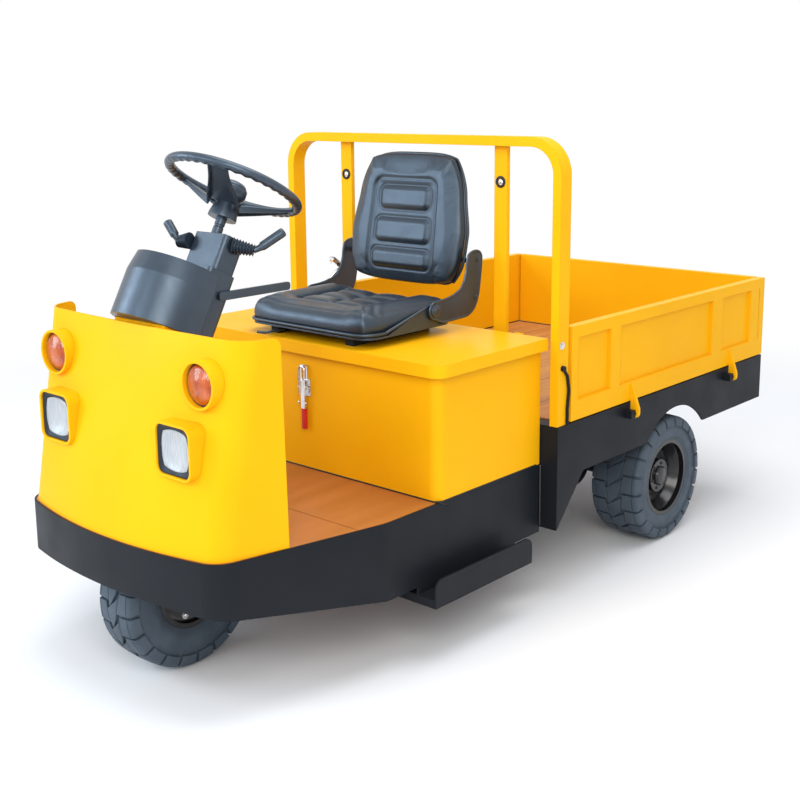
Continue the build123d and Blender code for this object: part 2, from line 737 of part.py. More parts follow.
def hook_outline(face, pin):
    """Plate that hangs from a board's outer face and closes round the hinge pin."""
    with BuildLine() as outline:
        Polyline(
            (face, BOARD_BOTTOM + HOOK_HEIGHT),
            (face + HOOK_NECK, BOARD_BOTTOM + HOOK_HEIGHT),
            (pin + HOOK_R, HINGE_Z + HOOK_R),
            (pin + HOOK_R, HINGE_Z),
            (pin - HOOK_R, HINGE_Z),
            (pin - HOOK_R, BOARD_BOTTOM),
            (face, BOARD_BOTTOM + HOOK_NECK),
            close=True,
        )
    make_face(outline.edges())
    with Locations((pin, HINGE_Z)):
        Circle(HOOK_R)
        Circle(HINGE_PIN_R + REST_GAP, mode=Mode.SUBTRACT)


with BuildPart() as side_board_left:
    block((BOARD_INNER_X, board_outer), (BOARD_FRONT, board_rear), (BOARD_BOTTOM, BOARD_TOP))
    for panel in panels:
        block((board_outer - BOARD_RECESS, board_outer), panel, panel_z, mode=Mode.SUBTRACT)
    for hook in board_hooks:
        with BuildSketch(facing_plane(hook - HOOK_WIDTH / 2)):
            hook_outline(board_outer, hinge_x)
        extrude(amount=-HOOK_WIDTH)
side_board_left.part.label = "side_board_left"
export_step(side_board_left.part, "parts/side_board_left.step")

with BuildPart() as side_board_right:
    add(mirror(side_board_left.part, about=Plane.YZ, mode=Mode.PRIVATE))
side_board_right.part.label = "side_board_right"
export_step(side_board_right.part, "parts/side_board_right.step")

# Tailgate between the drop sides
gate_half = BOARD_INNER_X - SWING_GAP
gate_outer = gate_inner + GATE_THICKNESS
hinge_station = BED_LENGTH + HINGE_OUT
gate_edges = [BOARD_TOP_RAIL - gate_half]
for first, last in GATE_RIBS:
    gate_edges += [first, last]
gate_edges.append(gate_half - BOARD_TOP_RAIL)
gate_panels = list(zip(gate_edges[::2], gate_edges[1::2]))
with BuildPart() as tailgate:
    block((-gate_half, gate_half), (gate_inner, gate_outer), (BOARD_BOTTOM, BOARD_TOP))
    for panel in gate_panels:
        block(panel, (gate_outer - BOARD_RECESS, gate_outer), panel_z, mode=Mode.SUBTRACT)
    for hook in GATE_HOOKS:
        with BuildSketch(Plane.YZ.offset(hook - HOOK_WIDTH / 2)):
            hook_outline(station(gate_outer), station(hinge_station))
        extrude(amount=HOOK_WIDTH)
tailgate.part.label = "tailgate"
export_step(tailgate.part, "parts/tailgate.step")

# Drop bolts at the tailgate's ends
bolt_x = gate_half - GATE_BOLT_INSET
bolt_station = gate_outer + GATE_BOLT_R
with BuildPart() as gate_bolts:
    for side in (-1, 1):
        with Locations((side * bolt_x, station(bolt_station), (GATE_BOLT_LOW + GATE_BOLT_HIGH) / 2)):
            Cylinder(GATE_BOLT_R, GATE_BOLT_HIGH - GATE_BOLT_LOW)
gate_bolts.part.label = "gate_bolts"
export_step(gate_bolts.part, "parts/gate_bolts.step")

# Hinge blocks on the frame, each with a pin through its hook
block_far = HOOK_WIDTH / 2 + HINGE_SIDE_GAP
pin_end = HOOK_WIDTH / 2 + HINGE_SIDE_GAP + HINGE_HEAD
with BuildPart() as hinge_blocks:
    for hook in board_hooks:
        block((half_rear, hinge_x + HINGE_PIN_R), (hook - block_far - HINGE_BLOCK, hook - block_far),
              (HINGE_Z - HINGE_BLOCK / 2, HINGE_Z + HINGE_BLOCK / 2))
        with BuildSketch(facing_plane(hook - block_far)):
            with Locations((hinge_x, HINGE_Z)):
                Circle(HINGE_PIN_R)
        extrude(amount=-block_far - pin_end)
        with BuildSketch(facing_plane(hook + block_far)):
            with Locations((hinge_x, HINGE_Z)):
                Circle(HINGE_PIN_R + HINGE_HEAD)
        extrude(amount=-HINGE_HEAD)
    mirror(about=Plane.YZ)
    for hook in GATE_HOOKS:
        block((hook - block_far - HINGE_BLOCK, hook - block_far), (BED_LENGTH, hinge_station + HINGE_PIN_R),
              (HINGE_Z - HINGE_BLOCK / 2, HINGE_Z + HINGE_BLOCK / 2))
        with BuildSketch(Plane.YZ.offset(hook - block_far)):
            with Locations((station(hinge_station), HINGE_Z)):
                Circle(HINGE_PIN_R)
        extrude(amount=block_far + pin_end)
        with BuildSketch(Plane.YZ.offset(hook + block_far)):
            with Locations((station(hinge_station), HINGE_Z)):
                Circle(HINGE_PIN_R + HINGE_HEAD)
        extrude(amount=HINGE_HEAD)
hinge_blocks.part.label = "hinge_blocks"
export_step(hinge_blocks.part, "parts/hinge_blocks.step")

# Latch rods that hold the drop sides to the guard legs
rod_x = guard_width / 2 + REST_GAP + LATCH_ROD_R
with BuildPart() as board_latches:
    with BuildLine():
        path = FilletPolyline(
            *[(rod_x, station(s), z) for s, z in LATCH_PATH],
            radius=LATCH_BEND_R,
        )
    with BuildSketch(Plane(path @ 0, z_dir=path % 0)):
        Circle(LATCH_ROD_R)
    sweep(path=path)
    top_station, top_z = LATCH_PATH[0]
    with BuildSketch(Plane.YZ.offset(guard_width / 2)):
        with Locations((station(top_station), top_z)):
            Circle(LATCH_BOSS_R)
    extrude(amount=2 * LATCH_ROD_R)
    mirror(about=Plane.YZ)
board_latches.part.label = "board_latches"
export_step(board_latches.part, "parts/board_latches.step")


def wheel_plane(x, y):
    """Plane through a wheel's centre, with its axle along local X."""
    return Plane((x, y, TYRE_R), x_dir=(1, 0, 0), z_dir=(0, 0, 1))


def tyre_section(width, bead_r):
    """Half section of a tyre: bead, bulged sidewalls, bevelled shoulders and a crowned tread."""
    half = width / 2
    bead_half = half - SIDEWALL_BULGE
    lip_top = bead_r + RIM_LIP + REST_GAP
    shoulder = TYRE_R - TREAD_CROWN - SHOULDER_DROP
    middle = (lip_top + shoulder) / 2
    tread_half = half - SHOULDER_BEVEL
    with BuildLine() as outline:
        Polyline((-bead_half, lip_top), (-bead_half, bead_r), (bead_half, bead_r), (bead_half, lip_top))
        for side in (-1, 1):
            ThreePointArc(
                (side * bead_half, lip_top),
                (side * (half - SIDEWALL_BULGE / 4), middle),
                (side * half, shoulder),
            )
            Line((side * half, shoulder), (side * tread_half, TYRE_R - TREAD_CROWN))
        ThreePointArc((-tread_half, TYRE_R - TREAD_CROWN), (0, TYRE_R), (tread_half, TYRE_R - TREAD_CROWN))
    make_face(outline.edges())


def rim_section(width, bead_r, bore_r, side, dish):
    """Half section of a rim: barrel with two lips, a disc set off the centre and a hub."""
    barrel_half = width / 2 - SIDEWALL_BULGE + REST_GAP
    barrel_r = bead_r - REST_GAP
    disc_x = side * dish
    with Locations((0, barrel_r - RIM_WALL / 2)):
        Rectangle(2 * barrel_half, RIM_WALL)
    for end in (-1, 1):
        lip_height = RIM_WALL + RIM_LIP
        with Locations((end * (barrel_half + RIM_WALL / 2), barrel_r - RIM_WALL + lip_height / 2)):
            Rectangle(RIM_WALL, lip_height)
    with Locations((disc_x, (bore_r + barrel_r - RIM_WALL / 2) / 2)):
        Rectangle(RIM_DISC, barrel_r - RIM_WALL / 2 - bore_r)
    with Locations((disc_x, (bore_r + HUB_RADIUS) / 2)):
        Rectangle(HUB_LENGTH, HUB_RADIUS - bore_r)


rear_wheels = (("left", 1), ("right", -1))
for name, side in rear_wheels:
    centre_x = side * rear_wheel_x
    spin_axis = Axis((centre_x, axle_y, TYRE_R), (1, 0, 0))
    with BuildPart() as rear_tyre:
        with BuildSketch(wheel_plane(centre_x, axle_y)):
            tyre_section(REAR_TYRE_WIDTH, REAR_BEAD_R)
        revolve(axis=spin_axis)
    rear_tyre.part.label = f"rear_tyre_{name}"
    export_step(rear_tyre.part, f"parts/rear_tyre_{name}.step")
    with BuildPart() as rear_rim:
        with BuildSketch(wheel_plane(centre_x, axle_y)):
            rim_section(REAR_TYRE_WIDTH, REAR_BEAD_R, SPINDLE_R + REST_GAP, side, REAR_DISH)
        revolve(axis=spin_axis)
    rear_rim.part.label = f"rear_rim_{name}"
    export_step(rear_rim.part, f"parts/rear_rim_{name}.step")

front_axis = Axis((0, kingpin_y, TYRE_R), (1, 0, 0))
with BuildPart() as front_tyre:
    with BuildSketch(wheel_plane(0, kingpin_y)):
        tyre_section(FRONT_TYRE_WIDTH, FRONT_BEAD_R)
    revolve(axis=front_axis)
front_tyre.part.label = "front_tyre"
export_step(front_tyre.part, "parts/front_tyre.step")

with BuildPart() as front_rim:
    with BuildSketch(wheel_plane(0, kingpin_y)):
        rim_section(FRONT_TYRE_WIDTH, FRONT_BEAD_R, FRONT_AXLE_R + REST_GAP, 1, 0)
    revolve(axis=front_axis)
front_rim.part.label = "front_rim"
export_step(front_rim.part, "parts/front_rim.step")

# Rear axle tube with spindles, and the motor with its gear case
with BuildPart() as rear_axle:
    with BuildSketch(Plane.YZ):
        with Locations((axle_y, TYRE_R)):
            Circle(AXLE_TUBE_R)
    extrude(amount=AXLE_TUBE_END, both=True)
    with BuildSketch(Plane.YZ):
        with Locations((axle_y, TYRE_R)):
            Circle(SPINDLE_R)
    extrude(amount=SPINDLE_END, both=True)
rear_axle.part.label = "rear_axle"
export_step(rear_axle.part, "parts/rear_axle.step")

motor_y = station(axle_station - MOTOR_FORWARD)
with BuildPart() as drive_motor:
    with BuildSketch(Plane.YZ.offset(-GEAR_CASE / 2)):
        with Locations((axle_y, TYRE_R)):
            Circle(DIFF_R)
        with Locations((motor_y, MOTOR_Z)):
            Circle(MOTOR_R)
        make_hull()
        with Locations((axle_y, TYRE_R)):
            Circle(AXLE_TUBE_R + REST_GAP, mode=Mode.SUBTRACT)
    extrude(amount=GEAR_CASE)
    with BuildSketch(Plane.YZ.offset(GEAR_CASE / 2)):
        with Locations((motor_y, MOTOR_Z)):
            Circle(MOTOR_R)
    extrude(amount=MOTOR_END_X - GEAR_CASE / 2)
    fillet(drive_motor.faces().sort_by(Axis.X)[-1].edges(), MOTOR_EDGE_R)
drive_motor.part.label = "drive_motor"
export_step(drive_motor.part, "parts/drive_motor.step")

# Leaf springs on the axle, each with an eye at both ends
spring_foot = TYRE_R + AXLE_TUBE_R + REST_GAP + SADDLE_HEIGHT
eye_z = spring_foot + SPRING_RISE + SPRING_PACK / 2
with BuildPart() as leaf_springs:
    with BuildSketch(Plane.YZ.offset(RAIL_X - SPRING_WIDTH / 2)):
        with BuildLine():
            low = (axle_y, spring_foot)
            high = (axle_y, spring_foot + SPRING_PACK)
            ends = [(axle_y + s * SPRING_HALF, eye_z) for s in (-1, 1)]
            ThreePointArc(ends[0], low, ends[1])
            ThreePointArc(ends[0], high, ends[1])
        make_face()
        with Locations(*ends):
            Circle(SPRING_EYE_R)
        with Locations((axle_y, spring_foot)):
            Rectangle(SADDLE_LENGTH, 2 * SADDLE_HEIGHT)
        with Locations((axle_y, TYRE_R)):
            Circle(AXLE_TUBE_R + REST_GAP, mode=Mode.SUBTRACT)
        with Locations(*ends):
            Circle(SHACKLE_PIN_R + REST_GAP, mode=Mode.SUBTRACT)
    extrude(amount=SPRING_WIDTH)
    mirror(about=Plane.YZ)
leaf_springs.part.label = "leaf_springs"
export_step(leaf_springs.part, "parts/leaf_springs.step")

# Spring hangers under the rails, with a pin through each eye
hanger_half = SPRING_WIDTH / 2 + REST_GAP + HANGER_PLATE
with BuildPart() as spring_hangers:
    for end_y, end_z in ends:
        with BuildSketch(Plane.YZ.offset(RAIL_X - hanger_half)):
            with Locations((end_y, end_z)):
                Circle(SPRING_EYE_R)
            with Locations((end_y, (end_z + rail_bottom) / 2)):
                Rectangle(2 * SPRING_EYE_R, rail_bottom - end_z)
        extrude(amount=2 * hanger_half)
        slot_top = rail_bottom - HANGER_PLATE
        slot_z = (end_z - SPRING_EYE_R, slot_top)
        slot_x = (RAIL_X - hanger_half + HANGER_PLATE, RAIL_X + hanger_half - HANGER_PLATE)
        slot_y = (end_y - guard_y - SPRING_EYE_R, end_y - guard_y + SPRING_EYE_R)
        block(slot_x, slot_y, slot_z, mode=Mode.SUBTRACT)
        with BuildSketch(Plane.YZ.offset(RAIL_X - hanger_half)):
            with Locations((end_y, end_z)):
                Circle(SHACKLE_PIN_R)
        extrude(amount=2 * hanger_half)
    mirror(about=Plane.YZ)
spring_hangers.part.label = "spring_hangers"
export_step(spring_hangers.part, "parts/spring_hangers.step")

# Tail lamps on the rear plate
with BuildPart() as tail_lamps:
    with BuildSketch(Plane.XZ.offset(-tail_y)):
        with Locations((-TAIL_LAMP_X, TAIL_LAMP_Z), (TAIL_LAMP_X, TAIL_LAMP_Z)):
            RectangleRounded(*TAIL_LAMP_SIZE, TAIL_LAMP_R)
    extrude(amount=-TAIL_LAMP_DEPTH)
tail_lamps.part.label = "tail_lamps"
export_step(tail_lamps.part, "parts/tail_lamps.step")

# Tow clevis under the rear plate, with an upright pin hole
with BuildPart() as tow_clevis:
    clevis_top = SILL_Z - REST_GAP
    clevis_bottom = clevis_top - CLEVIS_HEIGHT
    block((-CLEVIS_HALF, CLEVIS_HALF), (BED_LENGTH - CLEVIS_DEPTH, clevis_end), (clevis_bottom, clevis_top))
    mouth = (clevis_bottom + CLEVIS_PLATE, clevis_top - CLEVIS_PLATE)
    block((-CLEVIS_HALF, CLEVIS_HALF), (BED_LENGTH - CLEVIS_DEPTH + CLEVIS_PLATE, clevis_end), mouth,
          mode=Mode.SUBTRACT)
    with Locations((0, station(clevis_end - CLEVIS_PIN_INSET), clevis_bottom)):
        Cylinder(TOW_PIN_R, 2 * CLEVIS_HEIGHT, mode=Mode.SUBTRACT)
tow_clevis.part.label = "tow_clevis"
export_step(tow_clevis.part, "parts/tow_clevis.step")

# Wheel housing: a round well over the front wheel, with the steering head on its roof
crown_bottom = 2 * TYRE_R + CROWN_GAP
crown_top = crown_bottom + FORK_CROWN
roof = crown_top + SWING_GAP
housing_outer = HOUSING_R + HOUSING_SHEET
with BuildPart() as wheel_housing:
    with BuildSketch(Plane.XY.offset(beam_top)):
        with Locations((0, kingpin_y)):
            Circle(housing_outer)
            Circle(HOUSING_R, mode=Mode.SUBTRACT)
    extrude(amount=roof - beam_top)
    with BuildSketch(Plane.XY.offset(roof)):
        with Locations((0, kingpin_y)):
            Circle(housing_outer)
    extrude(amount=HOUSING_SHEET)
    with BuildSketch(Plane.XY.offset(FLOOR_TOP)):
        with Locations((0, kingpin_y)):
            Circle(housing_outer + HOUSING_FLANGE)
            Circle(HOUSING_R, mode=Mode.SUBTRACT)
    extrude(amount=HOUSING_SHEET)
    with BuildSketch(Plane.XY.offset(roof)):
        with Locations((0, kingpin_y)):
            Circle(HEAD_R)
    extrude(amount=HEAD_HEIGHT)
    with BuildSketch(Plane.XY.offset(roof)):
        with Locations((0, kingpin_y)):
            Circle(KINGPIN_R + REST_GAP)
    extrude(amount=HEAD_HEIGHT, mode=Mode.SUBTRACT)
wheel_housing.part.label = "wheel_housing"
export_step(wheel_housing.part, "parts/wheel_housing.step")

# Fork: kingpin, crown, two legs and the axle
leg_in = FRONT_TYRE_WIDTH / 2 + FORK_GAP
leg_out = leg_in + FORK_LEG
with BuildPart() as fork:
    with Locations((0, kingpin_y, (crown_bottom + crown_top) / 2)):
        Box(2 * leg_out, FORK_LEG_DEPTH, FORK_CROWN)
    with BuildSketch(Plane.YZ.offset(leg_in)):
        with Locations((kingpin_y, TYRE_R)):
            Circle(FORK_LEG_DEPTH / 2)
        with Locations((kingpin_y, (TYRE_R + crown_top) / 2)):
            Rectangle(FORK_LEG_DEPTH, crown_top - TYRE_R)
    extrude(amount=FORK_LEG)
    mirror(about=Plane.YZ)
    with BuildSketch(Plane.YZ):
        with Locations((kingpin_y, TYRE_R)):
            Circle(FRONT_AXLE_R)
    extrude(amount=leg_out + FRONT_AXLE_R, both=True)
    with BuildSketch(Plane.XY.offset(crown_top)):
        with Locations((0, kingpin_y)):
            Circle(KINGPIN_R)
    extrude(amount=HEAD_HEIGHT)
fork.part.label = "fork"
export_step(fork.part, "parts/fork.step")

# Steering wheel: grip ring, horn cap, collar and shaft, and three dished spokes
with BuildPart() as steering_wheel:
    with BuildSketch(Plane(steer_plane.origin, x_dir=(1, 0, 0), z_dir=-steer_plane.y_dir)):
        with Locations((WHEEL_R, 0)):
            Circle(GRIP_R)
    revolve(axis=Axis(steer_plane.origin, steer_plane.z_dir))
    for lower, upper in zip(HUB_PROFILE, HUB_PROFILE[1:]):
        for radius, height in (lower, upper):
            with BuildSketch(steer_plane.offset(height)):
                Circle(radius)
        loft()
    with BuildSketch(steer_plane.offset(-SHAFT_END)):
        Circle(SHAFT_R)
    extrude(amount=SHAFT_END)
    for angle in SPOKE_ANGLES:
        turn = radians(angle)
        outward = steer_plane.x_dir * cos(turn) + steer_plane.y_dir * sin(turn)
        with BuildSketch(Plane(steer_plane.origin, x_dir=outward, z_dir=outward.cross(steer_plane.z_dir))):
            with BuildLine():
                Polyline(
                    (SPOKE_ROOT, -HUB_DROP),
                    (WHEEL_R, -SPOKE_THICKNESS / 2),
                    (WHEEL_R, SPOKE_THICKNESS / 2),
                    (SPOKE_ROOT, SPOKE_THICKNESS - HUB_DROP),
                    close=True,
                )
            make_face()
        extrude(amount=SPOKE_WIDTH / 2, both=True)
steering_wheel.part.label = "steering_wheel"
export_step(steering_wheel.part, "parts/steering_wheel.step")

# Steering column with the stalk box at its head
with BuildPart() as steering_column:
    column_depth = COLUMN_FRONT + COLUMN_BACK
    with BuildSketch(steer_plane.offset(-DRUM_BOTTOM)):
        with Locations((0, (COLUMN_BACK - COLUMN_FRONT) / 2)):
            RectangleRounded(COLUMN_WIDTH, column_depth, COLUMN_R)
    extrude(amount=DRUM_BOTTOM - STALK_BOX_BOTTOM)
    box_depth = STALK_BOX_FRONT + COLUMN_BACK
    with BuildSketch(steer_plane.offset(-STALK_BOX_BOTTOM)):
        with Locations((0, (COLUMN_BACK - STALK_BOX_FRONT) / 2)):
            RectangleRounded(STALK_BOX_WIDTH, box_depth, COLUMN_R)
    extrude(amount=STALK_BOX_BOTTOM - STALK_BOX_TOP)
    with BuildSketch(steer_plane.offset(-SHAFT_END - SWING_GAP)):
        Circle(SHAFT_R + REST_GAP)
    extrude(amount=SHAFT_END, mode=Mode.SUBTRACT)
steering_column.part.label = "steering_column"
export_step(steering_column.part, "parts/steering_column.step")


def drum_plan(inset):
    """Plan of the column cover: a round front, straight cheeks and a flat back on the column."""
    radius = DRUM_R - inset
    back = -COLUMN_FRONT - REST_GAP
    with BuildLine() as outline:
        Polyline((-radius, -DRUM_FORWARD), (-radius, back), (radius, back), (radius, -DRUM_FORWARD))
        ThreePointArc((radius, -DRUM_FORWARD), (0, -DRUM_FORWARD - radius), (-radius, -DRUM_FORWARD))
    make_face(outline.edges())


with BuildPart() as column_cover:
    with BuildSketch(steer_plane.offset(-DRUM_BOTTOM)):
        drum_plan(0)
    extrude(amount=DRUM_BOTTOM - DRUM_SHOULDER)
    with BuildSketch(steer_plane.offset(-DRUM_SHOULDER)):
        drum_plan(0)
    with BuildSketch(steer_plane.offset(-DRUM_TOP)):
        drum_plan(DRUM_INSET)
    loft()
column_cover.part.label = "column_cover"
export_step(column_cover.part, "parts/column_cover.step")

# Pedestal, a folded box from the wheel housing up to the column's foot
with BuildPart() as pedestal:
    pedestal_run = (wheel_station - PEDESTAL_FORWARD, wheel_station - PEDESTAL_BACK)
    block((-PEDESTAL_WIDTH / 2, PEDESTAL_WIDTH / 2), pedestal_run,
          (roof + HOUSING_SHEET, WHEEL_Z))
    split(bisect_by=steer_plane.offset(-DRUM_BOTTOM - REST_GAP), keep=Keep.BOTTOM)
    offset(amount=-COWL_SHEET, openings=pedestal.faces().sort_by(Axis.Z)[0])
pedestal.part.label = "pedestal"
export_step(pedestal.part, "parts/pedestal.step")


def rod(start, end, radius):
    """A round bar between two points."""
    reach = Vector(*end) - Vector(*start)
    with BuildSketch(Plane(start, z_dir=reach)) as disc:
        Circle(radius)
    extrude(disc.sketch, amount=reach.length)


# Column stalks: a soft boot at the box, then a handle
with BuildPart() as stalks:
    for boot, knee, tip in STALK_POINTS:
        points = [(x, station(wheel_station + run), z) for x, run, z in (boot, knee, tip)]
        rod(points[0], points[1], BOOT_R)
        with Locations(points[1]):
            Sphere(BOOT_R)
        rod(points[1], points[2], STALK_R)
    add(steering_column.part, mode=Mode.SUBTRACT)
stalks.part.label = "stalks"
export_step(stalks.part, "parts/stalks.step")

# Parking brake lever beside the column
with BuildPart() as brake_lever:
    lever_x = (COLUMN_WIDTH / 2 + REST_GAP, COLUMN_WIDTH / 2 + REST_GAP + LEVER_THICKNESS)
    block(lever_x, (lever_front, lever_rear), (LEVER_Z - LEVER_HEIGHT / 2, LEVER_Z + LEVER_HEIGHT / 2))
    fillet(brake_lever.edges().filter_by(Axis.X), LEVER_HEIGHT / 3)
brake_lever.part.label = "brake_lever"
export_step(brake_lever.part, "parts/brake_lever.step")

# Pedals: a sloped pad on a stalk from the floor
pedal_y = station(wheel_station + PEDAL_BEHIND)
with BuildPart() as pedals:
    for pad_x, pad_width in PEDALS:
        foot = (pad_x, pedal_y, FLOOR_TOP)
        top = (pad_x, pedal_y + PEDAL_LEAN, FLOOR_TOP + PEDAL_HEIGHT)
        rod(foot, top, PEDAL_STALK_R)
        with BuildSketch(Plane(top, x_dir=(1, 0, 0), z_dir=(0, 1, 1))) as pad:
            RectangleRounded(pad_width, PEDAL_PAD, PEDAL_PAD_R)
        extrude(amount=PEDAL_THICKNESS)
    floor_line = Plane.XY.offset(FLOOR_TOP)
    split(bisect_by=floor_line, keep=Keep.TOP)
pedals.part.label = "pedals"
export_step(pedals.part, "parts/pedals.step")

# Toggle latch on the box front: base, draw loop and handle, with a soft grip
with BuildPart() as toggle_latch:
    face = BOX_FRONT
    block((-LATCH_HALF, LATCH_HALF), (face - LATCH_PLATE, face), LATCH_BASE_Z)
    low, high = LATCH_LOOP_Z
    loop_y = (face - LATCH_PLATE - LATCH_WIRE, face - LATCH_PLATE)
    block((-LATCH_LOOP_HALF, LATCH_LOOP_HALF), loop_y, (low, high))
    inside = LATCH_LOOP_HALF - LATCH_WIRE
    block((-inside, inside), loop_y, (low + LATCH_WIRE, high - LATCH_WIRE), mode=Mode.SUBTRACT)
    block((-LATCH_HANDLE_HALF, LATCH_HANDLE_HALF), (face - LATCH_PLATE - LATCH_HANDLE, face - LATCH_PLATE),
          (LATCH_GRIP_Z[1], LATCH_BASE_Z[1] - LATCH_PLATE))
toggle_latch.part.label = "toggle_latch"
export_step(toggle_latch.part, "parts/toggle_latch.step")

with BuildPart() as latch_grip:
    block((-LATCH_HANDLE_HALF, LATCH_HANDLE_HALF), (face - LATCH_PLATE - LATCH_HANDLE, face - LATCH_PLATE),
          LATCH_GRIP_Z)
    fillet(latch_grip.edges().filter_by(Axis.Z), LATCH_HANDLE_HALF / 3)
latch_grip.part.label = "latch_grip"
export_step(latch_grip.part, "parts/latch_grip.step")

# Seat slides on the lid, pan with side cheeks, and the cushion
slide_top = LID_TOP + SLIDE_HEIGHT
pan_top = slide_top + PAN_SHEET
cheek_in = SEAT_HALF + REST_GAP
cheek_out = cheek_in + PAN_CHEEK
with BuildPart() as seat_slides:
    for side in (-1, 1):
        block((side * RAIL_TRACK - SLIDE_WIDTH / 2, side * RAIL_TRACK + SLIDE_WIDTH / 2),
              (SEAT_FRONT + SLIDE_INSET, SEAT_REAR - SLIDE_INSET), (LID_TOP, slide_top))
seat_slides.part.label = "seat_slides"
export_step(seat_slides.part, "parts/seat_slides.step")

seat_middle = station((SEAT_FRONT + SEAT_REAR) / 2)
with BuildPart() as seat_pan:
    with BuildSketch(Plane.XY.offset(slide_top)):
        with Locations((0, seat_middle)):
            RectangleRounded(2 * cheek_out, SEAT_REAR - SEAT_FRONT, SEAT_CORNER_R)
    extrude(amount=PAN_SHEET)
    with BuildSketch(Plane.YZ.offset(cheek_in)):
        with Locations((station(ARM_PIVOT_STATION), ARM_PIVOT_Z)):
            Circle(ARM_EYE_R)
        with BuildLine():
            Polyline(
                (station(ARM_PIVOT_STATION) - CHEEK_LENGTH, slide_top),
                (station(ARM_PIVOT_STATION), ARM_PIVOT_Z + ARM_EYE_R),
                (station(ARM_PIVOT_STATION) + ARM_EYE_R, ARM_PIVOT_Z),
                (station(ARM_PIVOT_STATION) + ARM_EYE_R, slide_top),
                close=True,
            )
        make_face()
    extrude(amount=PAN_CHEEK)
    with BuildSketch(Plane.YZ.offset(cheek_in)):
        with Locations((station(ARM_PIVOT_STATION), ARM_PIVOT_Z)):
            Circle(ARM_PIN_R)
    extrude(amount=PAN_CHEEK + 2 * ARM_SIDE_GAP + ARM_PLATE)
    mirror(about=Plane.YZ)
seat_pan.part.label = "seat_pan"
export_step(seat_pan.part, "parts/seat_pan.step")

with BuildPart() as seat_cushion:
    with BuildSketch(Plane.XY.offset(pan_top + REST_GAP)):
        with Locations((0, seat_middle)):
            RectangleRounded(2 * SEAT_HALF, SEAT_REAR - SEAT_FRONT, SEAT_CORNER_R)
    extrude(amount=CUSHION_TOP - pan_top - REST_GAP)
    fillet(seat_cushion.faces().sort_by(Axis.Z)[-1].edges(), CUSHION_R)
seat_cushion.part.label = "seat_cushion"
export_step(seat_cushion.part, "parts/seat_cushion.step")

# Backrest: pad and shell on a plane that leans back from the seat
lean = radians(BACK_LEAN)
back_plane = Plane(
    (0, station(BACK_STATION), BACK_FOOT),
    x_dir=(1, 0, 0),
    z_dir=(0, -cos(lean), sin(lean)),
)
back_height = (GUARD_TOP - BACK_BELOW_GUARD - BACK_FOOT) / cos(lean)


def back_outline(inset):
    """Front view of the backrest: widest low down, drawn in towards a round top."""
    with BuildLine() as outline:
        Polyline(
            (inset - BACK_FOOT_HALF, inset),
            (inset - BACK_HALF, BACK_SHOULDER * back_height),
            (inset - BACK_TOP_HALF, back_height - inset),
            (BACK_TOP_HALF - inset, back_height - inset),
            (BACK_HALF - inset, BACK_SHOULDER * back_height),
            (BACK_FOOT_HALF - inset, inset),
            close=True,
        )
    make_face(outline.edges())
    fillet(vertices(), BACK_CORNER * back_height - inset)


with BuildPart() as backrest_pad:
    with BuildSketch(back_plane.offset(-PAD_DEPTH)):
        back_outline(0)
    extrude(amount=PAD_DEPTH)
    fillet(backrest_pad.faces().filter_by(back_plane).sort_by(Axis.Y)[0].edges(), PAD_EDGE_R)
backrest_pad.part.label = "backrest_pad"
export_step(backrest_pad.part, "parts/backrest_pad.step")

with BuildPart() as backrest_shell:
    with BuildSketch(back_plane.offset(-PAD_DEPTH - REST_GAP - SHELL_DEPTH)):
        back_outline(SHELL_INSET)
    extrude(amount=SHELL_DEPTH)
    fillet(backrest_shell.faces().filter_by(back_plane).sort_by(Axis.Y)[-1].edges(), SHELL_EDGE_R)
backrest_shell.part.label = "backrest_shell"
export_step(backrest_shell.part, "parts/backrest_shell.step")

# Side arms that carry the backrest on the pan's pins, tied by a tube behind the shell
tube_rise = (ARM_TUBE_Z - BACK_FOOT) * tan(lean)
shell_back = BACK_STATION + (PAD_DEPTH + REST_GAP + SHELL_DEPTH) / cos(lean) + tube_rise
tube_station = shell_back + (ARM_TUBE_R + REST_GAP) / cos(lean)
arm_in = cheek_out + ARM_SIDE_GAP
with BuildPart() as seat_arms:
    with BuildSketch(Plane.YZ.offset(arm_in)):
        with BuildLine():
            Polyline(*[(station(s), z) for s, z in ARM_OUTLINE], close=True)
        make_face()
        fillet(vertices(), ARM_CORNER_R)
        with Locations((station(ARM_PIVOT_STATION), ARM_PIVOT_Z)):
            Circle(ARM_EYE_R)
            Circle(ARM_PIN_R + REST_GAP, mode=Mode.SUBTRACT)
    extrude(amount=ARM_PLATE)
    mirror(about=Plane.YZ)
    with BuildSketch(Plane.YZ):
        with Locations((station(tube_station), ARM_TUBE_Z)):
            Circle(ARM_TUBE_R)
    extrude(amount=arm_in + ARM_PLATE / 2, both=True)
seat_arms.part.label = "seat_arms"
export_step(seat_arms.part, "parts/seat_arms.step")

# Recline lever on the end of the right-hand pivot pin
with BuildPart() as recline_lever:
    arm_clear = arm_in + ARM_PLATE + ARM_SIDE_GAP
    foot = (-arm_clear - RECLINE_R, station(ARM_PIVOT_STATION), ARM_PIVOT_Z)
    tip = (-arm_clear - RECLINE_KNOB_R, station(RECLINE_TIP[0]), RECLINE_TIP[1])
    rod(foot, tip, RECLINE_R)
    with Locations(foot):
        Sphere(RECLINE_R)
    with Locations(tip):
        Sphere(RECLINE_KNOB_R)
    add(seat_pan.part, mode=Mode.SUBTRACT)
recline_lever.part.label = "recline_lever"
export_step(recline_lever.part, "parts/recline_lever.step")
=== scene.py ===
import json
from dataclasses import dataclass
from math import cos, exp, hypot, pi, radians, sin, sqrt

import bmesh
import bpy
from mathutils import Matrix, Vector


